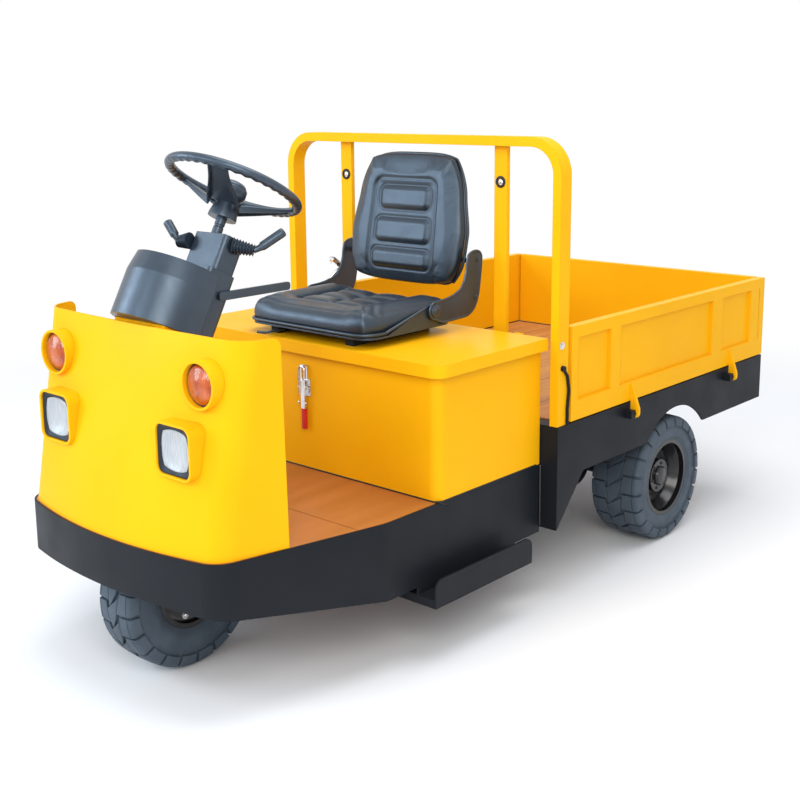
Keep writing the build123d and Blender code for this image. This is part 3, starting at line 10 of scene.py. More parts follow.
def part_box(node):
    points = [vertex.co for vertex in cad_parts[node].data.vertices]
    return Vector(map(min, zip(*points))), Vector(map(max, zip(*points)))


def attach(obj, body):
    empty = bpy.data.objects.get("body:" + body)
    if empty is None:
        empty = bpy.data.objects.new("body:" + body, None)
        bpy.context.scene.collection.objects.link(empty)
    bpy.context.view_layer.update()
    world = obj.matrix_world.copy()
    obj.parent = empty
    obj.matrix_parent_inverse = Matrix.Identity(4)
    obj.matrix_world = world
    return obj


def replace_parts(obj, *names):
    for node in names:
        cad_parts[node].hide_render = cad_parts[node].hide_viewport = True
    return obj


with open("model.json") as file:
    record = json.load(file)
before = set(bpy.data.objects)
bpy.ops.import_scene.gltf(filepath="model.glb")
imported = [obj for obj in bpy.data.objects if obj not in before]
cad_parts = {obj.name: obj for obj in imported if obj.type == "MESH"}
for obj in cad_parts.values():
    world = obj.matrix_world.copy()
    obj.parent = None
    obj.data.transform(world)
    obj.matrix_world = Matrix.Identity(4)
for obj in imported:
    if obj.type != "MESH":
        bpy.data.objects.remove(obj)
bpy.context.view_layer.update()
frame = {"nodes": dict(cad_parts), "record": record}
nodes = frame["nodes"]

# Camera, found from straight edges of the truck
CAMERA_PLACE = (2.6607, -3.1102, 1.5924)
CAMERA_AZIMUTH = 41.208
CAMERA_ELEVATION = 11.117
CAMERA_ROLL = -0.368
CAMERA_LENS = 54.35
CAMERA_SHIFT = (-0.0193, -0.0824)

# Places read from the frame
TYRE_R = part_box("front_tyre")[1][2] / 2
GUARD_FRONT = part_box("guard")[0][1]


def axle(tyre):
    """Spot on the truck's middle plane, level with the middle of a wheel."""
    low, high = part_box(tyre)
    return Vector((0, (low[1] + high[1]) / 2, TYRE_R))


REAR_AXLE = axle("rear_tyre_left")
FRONT_AXLE = axle("front_tyre")
ACROSS = Vector((1, 0, 0))

# Cool sheen of black vinyl, plastic and rubber
COOL_SHEEN = (0.62, 0.80, 1.0, 1)
# Span in which nearly all of a noise field lies
NOISE_SPAN = (0.3, 0.7)

# Materials


def new_material(name):
    material = bpy.data.materials.new(name)
    material.use_nodes = True
    return material, material.node_tree, material.node_tree.nodes["Principled BSDF"]


def set_inputs(node, values):
    for socket, value in values.items():
        node.inputs[socket].default_value = value


def noise_field(tree, scale, stretch=(1, 1, 1), detail=4.0):
    """Noise in the object's own metres, drawn out along an axis by a small stretch."""
    place = tree.nodes.new("ShaderNodeTexCoord")
    mapping = tree.nodes.new("ShaderNodeMapping")
    mapping.inputs["Scale"].default_value = stretch
    field = tree.nodes.new("ShaderNodeTexNoise")
    set_inputs(field, {"Scale": scale, "Detail": detail})
    tree.links.new(place.outputs["Object"], mapping.inputs["Vector"])
    tree.links.new(mapping.outputs["Vector"], field.inputs["Vector"])
    return field.outputs["Fac"]


def tint(tree, shader, factor, dark, light):
    """Colour that wanders between two tones."""
    ramp = tree.nodes.new("ShaderNodeValToRGB")
    ramp.color_ramp.elements[0].position = NOISE_SPAN[0]
    ramp.color_ramp.elements[0].color = (*dark, 1)
    ramp.color_ramp.elements[1].position = NOISE_SPAN[1]
    ramp.color_ramp.elements[1].color = (*light, 1)
    tree.links.new(factor, ramp.inputs["Fac"])
    tree.links.new(ramp.outputs["Color"], shader.inputs["Base Color"])


def roughen(tree, shader, factor, low, high):
    """Roughness that wanders between two levels."""
    span = tree.nodes.new("ShaderNodeMapRange")
    set_inputs(span, {"From Min": NOISE_SPAN[0], "From Max": NOISE_SPAN[1], "To Min": low, "To Max": high})
    tree.links.new(factor, span.inputs["Value"])
    tree.links.new(span.outputs["Result"], shader.inputs["Roughness"])


def add_bump(tree, shader, height, distance, edge=0.0):
    """Relief on the surface, over edges rounded by a small radius."""
    bump = tree.nodes.new("ShaderNodeBump")
    set_inputs(bump, {"Strength": 1.0, "Distance": distance})
    tree.links.new(height, bump.inputs["Height"])
    if edge:
        bevel = tree.nodes.new("ShaderNodeBevel")
        bevel.inputs["Radius"].default_value = edge
        tree.links.new(bevel.outputs["Normal"], bump.inputs["Normal"])
    tree.links.new(bump.outputs["Normal"], shader.inputs["Normal"])


def paint(name, dark, light, rough, gloss, coat=0.0, peel=0.0002, edge=0.003):
    """Sprayed enamel: slow drift of tone, fine orange peel and softened edges."""
    material, tree, shader = new_material(name)
    drift = noise_field(tree, scale=2.5, detail=3.0)
    tint(tree, shader, drift, dark, light)
    roughen(tree, shader, noise_field(tree, scale=9.0), *rough)
    set_inputs(shader, {"Specular IOR Level": gloss, "Coat Weight": coat, "Coat Roughness": 0.12})
    add_bump(tree, shader, noise_field(tree, scale=420.0, detail=2.0), peel, edge)
    return material


def moulded(name, dark, light, rough, gloss=0.5, grain=900.0, depth=0.0002, edge=0.002):
    """Moulded plastic or rubber with a fine even grain."""
    material, tree, shader = new_material(name)
    drift = noise_field(tree, scale=14.0)
    tint(tree, shader, drift, dark, light)
    roughen(tree, shader, noise_field(tree, scale=40.0), *rough)
    set_inputs(shader, {"Specular IOR Level": gloss, "Specular Tint": COOL_SHEEN})
    add_bump(tree, shader, noise_field(tree, grain, detail=2.0), depth, edge)
    return material


def wood(name, dark, light, rough, grain_scale):
    """Boards with grain along Y and streaks that differ from board to board."""
    material, tree, shader = new_material(name)
    grain = noise_field(tree, grain_scale, stretch=(1, 0.045, 1), detail=8.0)
    tint(tree, shader, grain, dark, light)
    roughen(tree, shader, grain, *rough)
    add_bump(tree, shader, grain, distance=0.0008, edge=0.002)
    return material


def metal(name, colour, rough):
    """Bare metal with a faint brushed tone."""
    material, tree, shader = new_material(name)
    shader.inputs["Metallic"].default_value = 1.0
    brushed = noise_field(tree, scale=60.0, stretch=(1, 1, 8))
    darker = tuple(0.8 * c for c in colour)
    tint(tree, shader, brushed, darker, colour)
    roughen(tree, shader, brushed, *rough)
    return material


def lens(name, dark, light, clear, flute_scale):
    """Moulded lamp glass with flutes across it."""
    material, tree, shader = new_material(name)
    drift = noise_field(tree, scale=30.0)
    tint(tree, shader, drift, dark, light)
    set_inputs(shader, {"Roughness": 0.08, "Transmission Weight": clear, "IOR": 1.49, "Coat Weight": 0.6})
    place = tree.nodes.new("ShaderNodeTexCoord")
    flutes = tree.nodes.new("ShaderNodeTexWave")
    flutes.inputs["Scale"].default_value = flute_scale
    tree.links.new(place.outputs["Object"], flutes.inputs["Vector"])
    add_bump(tree, shader, flutes.outputs["Fac"], distance=0.002)
    return material


def vinyl(name, dark, light, rough):
    """Grained seat vinyl with a soft sheen."""
    material, tree, shader = new_material(name)
    tint(tree, shader, noise_field(tree, scale=6.0), dark, light)
    roughen(tree, shader, noise_field(tree, scale=25.0), *rough)
    set_inputs(shader, {"Specular IOR Level": 1.0, "Specular Tint": COOL_SHEEN})
    cells = tree.nodes.new("ShaderNodeTexVoronoi")
    cells.inputs["Scale"].default_value = 520.0
    place = tree.nodes.new("ShaderNodeTexCoord")
    tree.links.new(place.outputs["Object"], cells.inputs["Vector"])
    add_bump(tree, shader, cells.outputs["Distance"], distance=0.0003)
    return material


# Looks of each slot: the maker of its material and what it is given
FINISHES = {
    "yellow_paint": (paint, dict(dark=(0.87, 0.42, 0.004), light=(0.92, 0.46, 0.006),
                                 rough=(0.34, 0.44), gloss=0.05, coat=0.02)),
    "black_paint": (paint, dict(dark=(0.009, 0.011, 0.014), light=(0.014, 0.016, 0.020),
                                rough=(0.38, 0.50), gloss=0.12, peel=0.0004)),
    "rim_paint": (paint, dict(dark=(0.006, 0.006, 0.007), light=(0.010, 0.010, 0.012),
                              rough=(0.18, 0.28), gloss=0.4, coat=0.3)),
    "floor_board": (wood, dict(dark=(0.40, 0.135, 0.025), light=(0.47, 0.165, 0.032),
                               rough=(0.40, 0.52), grain_scale=22.0)),
    "bed_wood": (wood, dict(dark=(0.34, 0.13, 0.030), light=(0.58, 0.26, 0.060),
                            rough=(0.50, 0.68), grain_scale=55.0)),
    "tyre_rubber": (moulded, dict(dark=(0.046, 0.060, 0.076), light=(0.068, 0.086, 0.106),
                                  rough=(0.50, 0.66), depth=0.0004)),
    "black_plastic": (moulded, dict(dark=(0.014, 0.020, 0.029), light=(0.021, 0.029, 0.041),
                                    rough=(0.28, 0.38), gloss=1.0)),
    "seat_vinyl": (vinyl, dict(dark=(0.008, 0.012, 0.018), light=(0.013, 0.019, 0.028), rough=(0.30, 0.40))),
    "amber_lens": (lens, dict(dark=(0.42, 0.045, 0.006), light=(0.74, 0.150, 0.020),
                              clear=0.1, flute_scale=60.0)),
    # Painted reflection: the clear glass's whitish-blue colour stands in for the bright dish seen through
    # real lamp glass
    "clear_lens": (lens, dict(dark=(0.80, 0.87, 0.93), light=(0.92, 0.96, 1.0), clear=0.6, flute_scale=45.0)),
    "gasket_rubber": (moulded, dict(dark=(0.008, 0.008, 0.009), light=(0.013, 0.013, 0.014),
                                    rough=(0.45, 0.60))),
    "bright_steel": (metal, dict(colour=(0.78, 0.79, 0.81), rough=(0.14, 0.28))),
    "red_grip": (moulded, dict(dark=(0.50, 0.012, 0.010), light=(0.64, 0.02, 0.015),
                               rough=(0.25, 0.4), depth=0.0001)),
    "red_lens": (lens, dict(dark=(0.45, 0.008, 0.008), light=(0.60, 0.015, 0.012),
                            clear=0.2, flute_scale=70.0)),
}
slots = {name: make(name, **looks) for name, (make, looks) in FINISHES.items()}
for part in frame["record"]["subparts"]:
    skin = nodes[part["node"]].data
    skin.materials.clear()
    skin.materials.append(slots[part["material_slot"]])


# Meshes
SHARP_ANGLE = 35


def add_piece(name, mesh_builder, slot, body, sharp=SHARP_ANGLE):
    """A finished piece: faces smooth, edges over the sharp angle kept crisp."""
    bmesh.ops.recalc_face_normals(mesh_builder, faces=mesh_builder.faces)
    for face in mesh_builder.faces:
        face.smooth = True
    for edge in mesh_builder.edges:
        edge.smooth = len(edge.link_faces) == 2 and edge.calc_face_angle() < radians(sharp)
    mesh = bpy.data.meshes.new(name)
    mesh_builder.to_mesh(mesh)
    mesh_builder.free()
    piece = bpy.data.objects.new(name, mesh)
    bpy.context.collection.objects.link(piece)
    mesh.materials.append(slots[slot])
    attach(piece, body)
    return piece


def grid_faces(builder, rows):
    """Quads between rows of vertices of one length."""
    for first, second in zip(rows, rows[1:]):
        for k in range(len(first) - 1):
            builder.faces.new((first[k], first[k + 1], second[k + 1], second[k]))


def ring_faces(builder, first, second):
    """Quads between two rings, or triangles where one of them is a single point."""
    count = max(len(first), len(second))
    for k in range(count):
        n = (k + 1) % count
        near = [first[k % len(first)], first[n % len(first)]]
        quad = near + [second[n % len(second)], second[k % len(second)]]
        builder.faces.new(list(dict.fromkeys(quad)))


def lathe(builder, profile, place, axis, segments):
    """Surface turned about an axis; the profile gives radius and run along it."""
    axis = Vector(axis).normalized()
    side = axis.orthogonal().normalized()
    other = axis.cross(side)
    rings = []
    for radius, run in profile:
        centre = Vector(place) + run * axis
        count = segments if radius > 1e-6 else 1
        turns = [2 * pi * k / count for k in range(count)]
        spokes = [radius * (cos(a) * side + sin(a) * other) for a in turns]
        rings.append([builder.verts.new(centre + spoke) for spoke in spokes])
    for first, second in zip(rings, rings[1:]):
        ring_faces(builder, first, second)


def tube(builder, points, radii, segments, closed=False):
    """Round bar along points, with a radius at each of them."""
    count = len(points)
    turns = [2 * pi * k / segments for k in range(segments)]
    rings = []
    normal = None
    for k, point in enumerate(points):
        before = points[k - 1] if closed or k else point
        after = points[(k + 1) % count] if closed or k < count - 1 else point
        along = (after - before).normalized()
        normal = along.orthogonal() if normal is None else normal
        normal = (normal - normal.dot(along) * along).normalized()
        other = along.cross(normal)
        spokes = [radii[k] * (cos(a) * normal + sin(a) * other) for a in turns]
        rings.append([builder.verts.new(point + spoke) for spoke in spokes])
    for first, second in zip(rings, rings[1:] + rings[:1] if closed else rings[1:]):
        ring_faces(builder, first, second)
    if not closed:
        builder.faces.new(rings[0])
        builder.faces.new(rings[-1])


def soft_path(points, steps=6):
    """Points of a soft curve through the given ones."""
    spots = [Vector(p) for p in points]
    ends = [2 * spots[0] - spots[1]] + spots + [2 * spots[-1] - spots[-2]]
    path = []
    for a, b, c, d in zip(ends, ends[1:], ends[2:], ends[3:]):
        for k in range(steps):
            t = k / steps
            bend = (c - a) * t + (2 * a - 5 * b + 4 * c - d) * t ** 2 + (3 * b - a - 3 * c + d) * t ** 3
            path.append(b + bend / 2)
    path.append(spots[-1])
    return path


def hex_bolt(builder, place, axis, size):
    """Hexagon head with a chamfered top, on a round washer."""
    height = 0.7 * size
    wide = 1.4 * size
    thick = 0.16 * size
    lathe(builder, [(wide, 0), (wide, thick), (0.9 * size, thick)], place, axis, 24)
    head = [(size, thick), (size, 0.85 * height), (0.82 * size, height), (0, height)]
    lathe(builder, head, place, axis, 6)


def smooth(x):
    """Eased step from zero to one."""
    x = min(max(x, 0.0), 1.0)
    return x * x * (3 - 2 * x)


def rounded_box(x, y, half_x, half_y, radius):
    """Signed distance from a rectangle with round corners."""
    dx = abs(x) - half_x + radius
    dy = abs(y) - half_y + radius
    return hypot(max(dx, 0), max(dy, 0)) + min(max(dx, dy), 0) - radius


def border(rows):
    """Outer members of a grid, in order round it."""
    return rows[0][:-1] + [r[-1] for r in rows[:-1]] + rows[-1][:0:-1] + [r[0] for r in rows[:0:-1]]


def bar(name, slot, body, points, radius, segments=10):
    """Piece that is one round bar along points."""
    builder = bmesh.new()
    tube(builder, points, [radius] * len(points), segments)
    add_piece(name, builder, slot, body)


def turned(name, slot, body, profile, place, axis, segments, sharp=SHARP_ANGLE):
    """Piece that is one turned profile."""
    builder = bmesh.new()
    lathe(builder, profile, place, axis, segments)
    add_piece(name, builder, slot, body, sharp)


def station_spot(x, station, z):
    """Place given by a station behind the guard's front face and a height, both in millimetres."""
    return Vector((x, GUARD_FRONT + station / 1000, z / 1000))


# Tyres: depth of the grooves, blocks of the tread, then shoulder, sidewall and bead
GROOVE = 0.009
BLOCK_ROOT = GROOVE + 0.002
BLOCK_EDGE = 0.0015
BLOCK_STEPS = (4, 6)
PITCHES = 21
PITCH_GAP = 0.0035
EDGE_GAP = 0.006
SLANT = 0.3
ZIGZAG = 0.006
ROW_SPLIT = 0.36
ROW_GAP = 0.0022
SIPE_SHARE = 0.47
SIPE_GAP = 0.0016
CROWN = 0.003
SHOULDER_R = 0.013
SHOULDER_TURN = radians(80)
SKIRT_LENGTH = 0.024
WALL_BULGE = 0.004
WALL_BAND = (0.55, 0.7)
WALL_BAND_RISE = 0.002
BEAD_INSET = 0.016
BEAD_WIDTH = 0.03
REAR_BEAD_R = 0.1325
FRONT_BEAD_R = 0.1065
FLOOR_STEPS = 14
WALL_STEPS = 8
TYRE_SEGMENTS = 126


class Tyre:
    """Section of a tyre, followed from the tread's middle over the shoulder to the bead."""

    def __init__(self, node):
        low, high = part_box(node)
        self.middle = Vector([(a + b) / 2 for a, b in zip(low, high)])
        self.half = (high[0] - low[0]) / 2
        self.radius = (high[2] - low[2]) / 2
        self.flat = self.half - SHOULDER_R
        self.skirt = self.flat + SHOULDER_R * SHOULDER_TURN + SKIRT_LENGTH

    def section(self, v):
        """Offset across, radius and outward direction at a run v from the tread's middle."""
        side = 1 if v >= 0 else -1
        run = abs(v)
        crown = CROWN * (min(run, self.flat) / self.flat) ** 2
        if run <= self.flat:
            return side * run, self.radius - crown, (0, 1)
        turn = min((run - self.flat) / SHOULDER_R, SHOULDER_TURN)
        extra = run - self.flat - SHOULDER_R * turn
        x = self.flat + SHOULDER_R * sin(turn) + extra * cos(turn)
        r = self.radius - crown - SHOULDER_R * (1 - cos(turn)) - extra * sin(turn)
        return side * x, r, (side * sin(turn), cos(turn))

    def point(self, angle, v, depth):
        x, r, (nx, nr) = self.section(v)
        x -= nx * depth
        r -= nr * depth
        return self.middle + Vector((x, r * sin(angle), r * cos(angle)))

    def block(self, builder, corners):
        """Raised block between four corners given as (angle, v): bevelled top and walls below the groove."""
        (a0, v0), (a1, v1), (a2, v2), (a3, v3) = corners

        def spot(s, t):
            angle = (1 - s) * ((1 - t) * a0 + t * a1) + s * ((1 - t) * a3 + t * a2)
            v = (1 - s) * ((1 - t) * v0 + t * v1) + s * ((1 - t) * v3 + t * v2)
            return angle, v

        def shares(steps, inset):
            return [0.0] + [inset + k / steps * (1 - 2 * inset) for k in range(steps + 1)] + [1.0]

        shares_a = shares(BLOCK_STEPS[0], BLOCK_EDGE / self.radius / abs(a3 - a0))
        shares_v = shares(BLOCK_STEPS[1], BLOCK_EDGE / abs(v1 - v0))
        grid = [[(s, t) for t in shares_v] for s in shares_a]
        rows = []
        for line in grid:
            row = []
            for s, t in line:
                on_edge = s in (0.0, 1.0) or t in (0.0, 1.0)
                row.append(builder.verts.new(self.point(*spot(s, t), BLOCK_EDGE if on_edge else 0.0)))
            rows.append(row)
        grid_faces(builder, rows)
        foot = [builder.verts.new(self.point(*spot(s, t), BLOCK_ROOT)) for s, t in border(grid)]
        ring_faces(builder, foot, border(rows))

    def carcass(self, builder, bead_r):
        """Groove floor under the tread, then a banded sidewall down to the bead."""
        floor = []
        for k in range(-FLOOR_STEPS, FLOOR_STEPS + 1):
            x, r, (nx, nr) = self.section(self.skirt * k / FLOOR_STEPS)
            floor.append((x - nx * GROOVE, r - nr * GROOVE))
        end_x, end_r = floor[-1]
        wall = []
        for k in range(1, WALL_STEPS + 1):
            share = k / WALL_STEPS
            x = end_x + WALL_BULGE * sin(pi * share) + (self.half - BEAD_INSET - end_x) * share ** 3
            if WALL_BAND[0] < share < WALL_BAND[1]:
                x += WALL_BAND_RISE
            wall.append((x, end_r + (bead_r - end_r) * share))
        wall.append((self.half - BEAD_WIDTH, bead_r))
        section = [(-x, r) for x, r in reversed(wall)] + floor + wall
        rings = []
        for k in range(TYRE_SEGMENTS):
            angle = 2 * pi * k / TYRE_SEGMENTS
            spots = [Vector((x, r * sin(angle), r * cos(angle))) for x, r in section]
            rings.append([builder.verts.new(self.middle + spot) for spot in spots])
        for first, second in zip(rings, rings[1:] + rings[:1]):
            ring_faces(builder, first, second)

    def tread(self, builder):
        """Middle row of slanted blocks between two shoulder rows, each split by a sipe."""
        pitch = 2 * pi / PITCHES
        gap = PITCH_GAP / self.radius
        edge_gap = EDGE_GAP / self.radius
        slant = SLANT * pitch
        row = ROW_SPLIT * self.flat
        half = row - ROW_GAP
        sipe = SIPE_SHARE * (row + self.skirt)
        for k in range(PITCHES):
            start = k * pitch
            for side in (-1, 1):
                low = start + (pitch / 2 if side > 0 else 0.0)
                high = low + pitch
                inner = side * (row + ROW_GAP)
                middle = side * sipe
                outer = side * (sipe + SIPE_GAP)
                edge = side * self.skirt
                zigzag = side * ZIGZAG
                self.block(builder, ((low + gap, inner - zigzag), (low + gap, middle),
                                     (high - gap, middle), (high - gap, inner + zigzag)))
                self.block(builder, ((low + gap, outer), (low + edge_gap, edge),
                                     (high - edge_gap, edge), (high - gap, outer)))
            low = start + gap
            high = start + pitch - gap
            self.block(builder, ((low - slant, ZIGZAG - half), (low + slant, half - ZIGZAG),
                                 (high + slant, half + ZIGZAG), (high - slant, -half - ZIGZAG)))


def make_tyre(name, node, body, bead_r):
    tyre = Tyre(node)
    builder = bmesh.new()
    tyre.carcass(builder, bead_r)
    tyre.tread(builder)
    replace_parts(add_piece(name, builder, "tyre_rubber", body), node)


make_tyre("tread_rear_left", "rear_tyre_left", "rear_wheel_left", REAR_BEAD_R)
make_tyre("tread_rear_right", "rear_tyre_right", "rear_wheel_right", REAR_BEAD_R)
make_tyre("tread_front", "front_tyre", "front_wheel", FRONT_BEAD_R)


# Padded seat
PRESSURE = 4.0
SIM_FRAMES = 20
SWELL = 0.006
BASE_SHARE = 0.97


def simulate(piece, pinned):
    """Blow the cover up against its pinned base, and keep each point within the swell."""
    group = piece.vertex_groups.new(name="sewn")
    group.add(pinned, 1.0, "REPLACE")
    cloth = piece.modifiers.new("cover", "CLOTH")
    cloth.settings.vertex_group_mass = "sewn"
    cloth.settings.quality = 5
    cloth.settings.tension_stiffness = 15
    cloth.settings.compression_stiffness = 15
    cloth.settings.bending_stiffness = 0.5
    cloth.settings.use_pressure = True
    cloth.settings.uniform_pressure_force = PRESSURE
    cloth.settings.effector_weights.gravity = 0
    cloth.point_cache.frame_start = 1
    cloth.point_cache.frame_end = SIM_FRAMES
    scene = bpy.context.scene
    for step in range(1, SIM_FRAMES + 1):
        scene.frame_set(step)
    swollen = piece.evaluated_get(bpy.context.evaluated_depsgraph_get()).data
    moved = [vert.co.copy() for vert in swollen.vertices]
    piece.modifiers.clear()
    piece.vertex_groups.clear()
    scene.frame_set(1)
    for vert, place in zip(piece.data.vertices, moved):
        shift = place - vert.co
        if shift.length > SWELL:
            shift *= SWELL / shift.length
        vert.co += shift


@dataclass
class Pad:
    """Sewn pad on a flat base: axes along and out of it, an outline, a crown and sewn relief."""

    origin: Vector
    along: Vector
    out: Vector
    outline: object
    crown: object
    relief: object
    side: float
    roll: float

    def place(self, a, b, c):
        return self.origin + a * ACROSS + b * self.along + c * self.out

    def height(self, s, t):
        """Crown inside, rolled down to the side's height at the edge."""
        a, b = self.outline(s, t)
        edge = max(abs(s), abs(t))
        q = max(0.0, (edge - self.roll) / (1 - self.roll))
        return self.side + (self.crown(a, b) - self.side) * sqrt(max(0.0, 1 - q * q))

    def build(self, name, node, body, columns, rows):
        """Cover over its base as one closed grid, swollen, sewn and put in the node's place."""
        builder = bmesh.new()
        shares_s = [2 * k / columns - 1 for k in range(columns + 1)]
        shares_t = [2 * k / rows - 1 for k in range(rows + 1)]
        top = []
        base = []
        for t in shares_t:
            spots = [self.place(*self.outline(s, t), self.height(s, t)) for s in shares_s]
            top.append([builder.verts.new(spot) for spot in spots])
        for t in shares_t:
            spots = [self.outline(BASE_SHARE * s, BASE_SHARE * t) for s in shares_s]
            base.append([builder.verts.new(self.place(a, b, 0.0)) for a, b in spots])
        grid_faces(builder, top)
        grid_faces(builder, base)
        ring_faces(builder, border(top), border(base))
        builder.verts.index_update()
        pinned = [vert.index for row in base for vert in row] + [vert.index for vert in border(top)]
        piece = add_piece(name, builder, "seat_vinyl", body, sharp=180)
        simulate(piece, pinned)
        self.finish(piece)
        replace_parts(piece, node)

    def finish(self, piece):
        """One subdivision, then the sewn relief pressed into the outer face."""
        finer = piece.modifiers.new("finer", "SUBSURF")
        finer.levels = 1
        finished = piece.evaluated_get(bpy.context.evaluated_depsgraph_get())
        cover = bpy.data.meshes.new_from_object(finished)
        piece.modifiers.clear()
        facing = [smooth((normal.vector.dot(self.out) - 0.1) / 0.5) for normal in cover.vertex_normals]
        for vert, share in zip(cover.vertices, facing):
            spot = vert.co - self.origin
            vert.co += share * self.relief(spot.dot(ACROSS), spot.dot(self.along)) * self.out
        piece.data = cover


def seam(distance, depth, width):
    return -depth * exp(-(distance / width) ** 2)


# Cushion: a front roll and two side bolsters round a lower field of two by three sewn squares
seat_low, seat_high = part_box("seat_cushion")
SEAT_HALF = seat_high[0] - 0.0012
SEAT_DEPTH = seat_high[1] - seat_low[1]
SEAT_SIDE = 0.034
SEAT_ROLL = 0.78
SEAT_CROWN = 0.060
SEAT_ROUND = 0.13
SEAT_BOW = 0.003
SEAT_REACH = 0.005
BOLSTER_START = 0.135
BOLSTER_RUN = 0.055
BOLSTER_RISE = 0.020
BOLSTER_SEAM = 0.238
FRONT_RISE = 0.012
FRONT_SEAM = 0.030
REAR_RISE = 0.006
FIELD_HALF = 0.150
FIELD_FRONT = 0.112
FIELD_REAR = 0.352
FIELD_CORNER = 0.025
FIELD_COLUMNS = 2
FIELD_ROWS = 3
PUFF = 0.019
PUFF_SINK = 0.008


def cushion_outline(s, t):
    bow_s = sqrt(1 - SEAT_ROUND * t ** 6)
    bow_t = sqrt(1 - SEAT_ROUND * s ** 6)
    a = s * bow_s * (SEAT_HALF - SEAT_BOW * (1 - t * t))
    b = SEAT_DEPTH / 2 + t * bow_t * (SEAT_DEPTH / 2 + SEAT_REACH - SEAT_BOW * (1 - s * s))
    return a, b


def cushion_crown(a, b):
    bolster = smooth((abs(a) - BOLSTER_START) / BOLSTER_RUN)
    front = smooth((FIELD_FRONT + 0.008 - b) / 0.045)
    rear = smooth((b - FIELD_REAR + 0.01) / 0.04)
    return SEAT_CROWN + BOLSTER_RISE * bolster + (FRONT_RISE * front + REAR_RISE * rear) * (1 - bolster)


def cushion_relief(a, b):
    mid = (FIELD_FRONT + FIELD_REAR) / 2
    run = (FIELD_REAR - FIELD_FRONT) / 2
    outside = rounded_box(a, b - mid, FIELD_HALF, run, FIELD_CORNER)
    lift = seam(outside, depth=0.009, width=0.007)
    if outside < 0:
        across = (a + FIELD_HALF) / (2 * FIELD_HALF) * FIELD_COLUMNS
        along = (b - FIELD_FRONT) / (2 * run) * FIELD_ROWS
        u = abs(2 * (across % 1) - 1)
        v = abs(2 * (along % 1) - 1)
        lift += PUFF * sqrt(max(0.0, (1 - u ** 3) * (1 - v ** 3))) - PUFF_SINK
    lift += seam(abs(a) - BOLSTER_SEAM, depth=0.003, width=0.004) * smooth((b - 0.05) / 0.03)
    lift += seam(b - FRONT_SEAM, depth=0.003, width=0.004) * smooth((0.225 - abs(a)) / 0.03)
    return lift


cushion = Pad(Vector((0, seat_low[1], seat_low[2])), along=Vector((0, 1, 0)), out=Vector((0, 0, 1)),
              outline=cushion_outline, crown=cushion_crown, relief=cushion_relief,
              side=SEAT_SIDE, roll=SEAT_ROLL)
cushion.build("cushion_cover", "seat_cushion", "lid", columns=74, rows=58)

# Backrest: a rolled border, a sewn frame and three raised pads one above the other
BACK_LEAN = radians(8)
BACK_UP = Vector((0, sin(BACK_LEAN), cos(BACK_LEAN)))
BACK_OUT = Vector((0, -cos(BACK_LEAN), sin(BACK_LEAN)))
BACK_FOOT = Vector((0, GUARD_FRONT - 0.080, 0.990))
BACK_HEIGHT = 0.4302
BACK_DEPTH = 0.058
BACK_SIDE = 0.032
BACK_ROLL = 0.80
FRAME_FOOT_HALF = 0.145
FRAME_TAPER = 0.035
FRAME_MIDDLE = 0.165
FRAME_TALL = 0.179
FRAME_CORNER = 0.035
HOLLOW = 0.007
HOLLOW_TOP = 0.352
LUMBAR_RISE = 0.004
LUMBAR_MIDDLE = 0.11
LUMBAR_RUN = 0.10
PAD_RISE = 0.009
PAD_CORNER = 0.026
# Height up the backrest and half width there
BACK_WIDTHS = ((0.0, 0.221), (0.09, 0.238), (0.179, 0.243), (0.30, 0.222), (0.43, 0.190))
# Middle height, half width and half height of each raised pad
BACK_PADS = ((0.2795, 0.111, 0.0415), (0.1715, 0.122, 0.0435), (0.0785, 0.129, 0.0345))


def back_half(h):
    """Half width at a height, eased between the listed ones."""
    for (h0, w0), (h1, w1) in zip(BACK_WIDTHS, BACK_WIDTHS[1:]):
        if h <= h1:
            share = (h - h0) / (h1 - h0)
            return w0 + (w1 - w0) * (smooth(share) + share) / 2
    return BACK_WIDTHS[-1][1]


def back_outline(s, t):
    h = BACK_HEIGHT / 2 * (1 + t * sqrt(1 - 0.15 * s ** 4))
    return s * back_half(h) * sqrt(1 - 0.20 * t ** 6), h


def frame_half(h):
    return FRAME_FOOT_HALF - FRAME_TAPER * h


def back_crown(a, h):
    hollow = smooth((frame_half(h) + 0.012 - abs(a)) / 0.03) * smooth((HOLLOW_TOP - h) / 0.03)
    lumbar = exp(-((h - LUMBAR_MIDDLE) / LUMBAR_RUN) ** 2)
    return BACK_DEPTH - 0.008 - HOLLOW * hollow + LUMBAR_RISE * lumbar


def back_relief(a, h):
    outside = rounded_box(a, h - FRAME_MIDDLE, frame_half(h), FRAME_TALL, FRAME_CORNER)
    lift = seam(outside, depth=0.005, width=0.005)
    for middle, half, tall in BACK_PADS:
        over = rounded_box(a, h - middle, half, tall, PAD_CORNER)
        lift += PAD_RISE * smooth(-over / 0.020) + seam(over, depth=0.003, width=0.0045)
    return lift


back_pad = Pad(BACK_FOOT - BACK_DEPTH * BACK_OUT, along=BACK_UP, out=BACK_OUT, outline=back_outline,
               crown=back_crown, relief=back_relief, side=BACK_SIDE, roll=BACK_ROLL)
back_pad.build("backrest_cover", "backrest_pad", "backrest", columns=68, rows=62)

# Piping round the backrest's edge and along the cushion's foot
PIPING_R = 0.0045
PIPING_STEPS = 40
PIPING_RISE = 0.006
PIPING_CORNER = 0.055


def backrest_piping():
    """Up one side, over the top and down the other."""
    steps = [2 * k / PIPING_STEPS - 1 for k in range(PIPING_STEPS + 1)]
    edge = [(-1.0, t) for t in steps[:-1]] + [(s, 1.0) for s in steps] + [(1.0, -t) for t in steps[1:]]
    points = [back_pad.place(*back_outline(s, t), PIPING_RISE) for s, t in edge]
    bar("backrest_piping", "seat_vinyl", "backrest", points, PIPING_R)


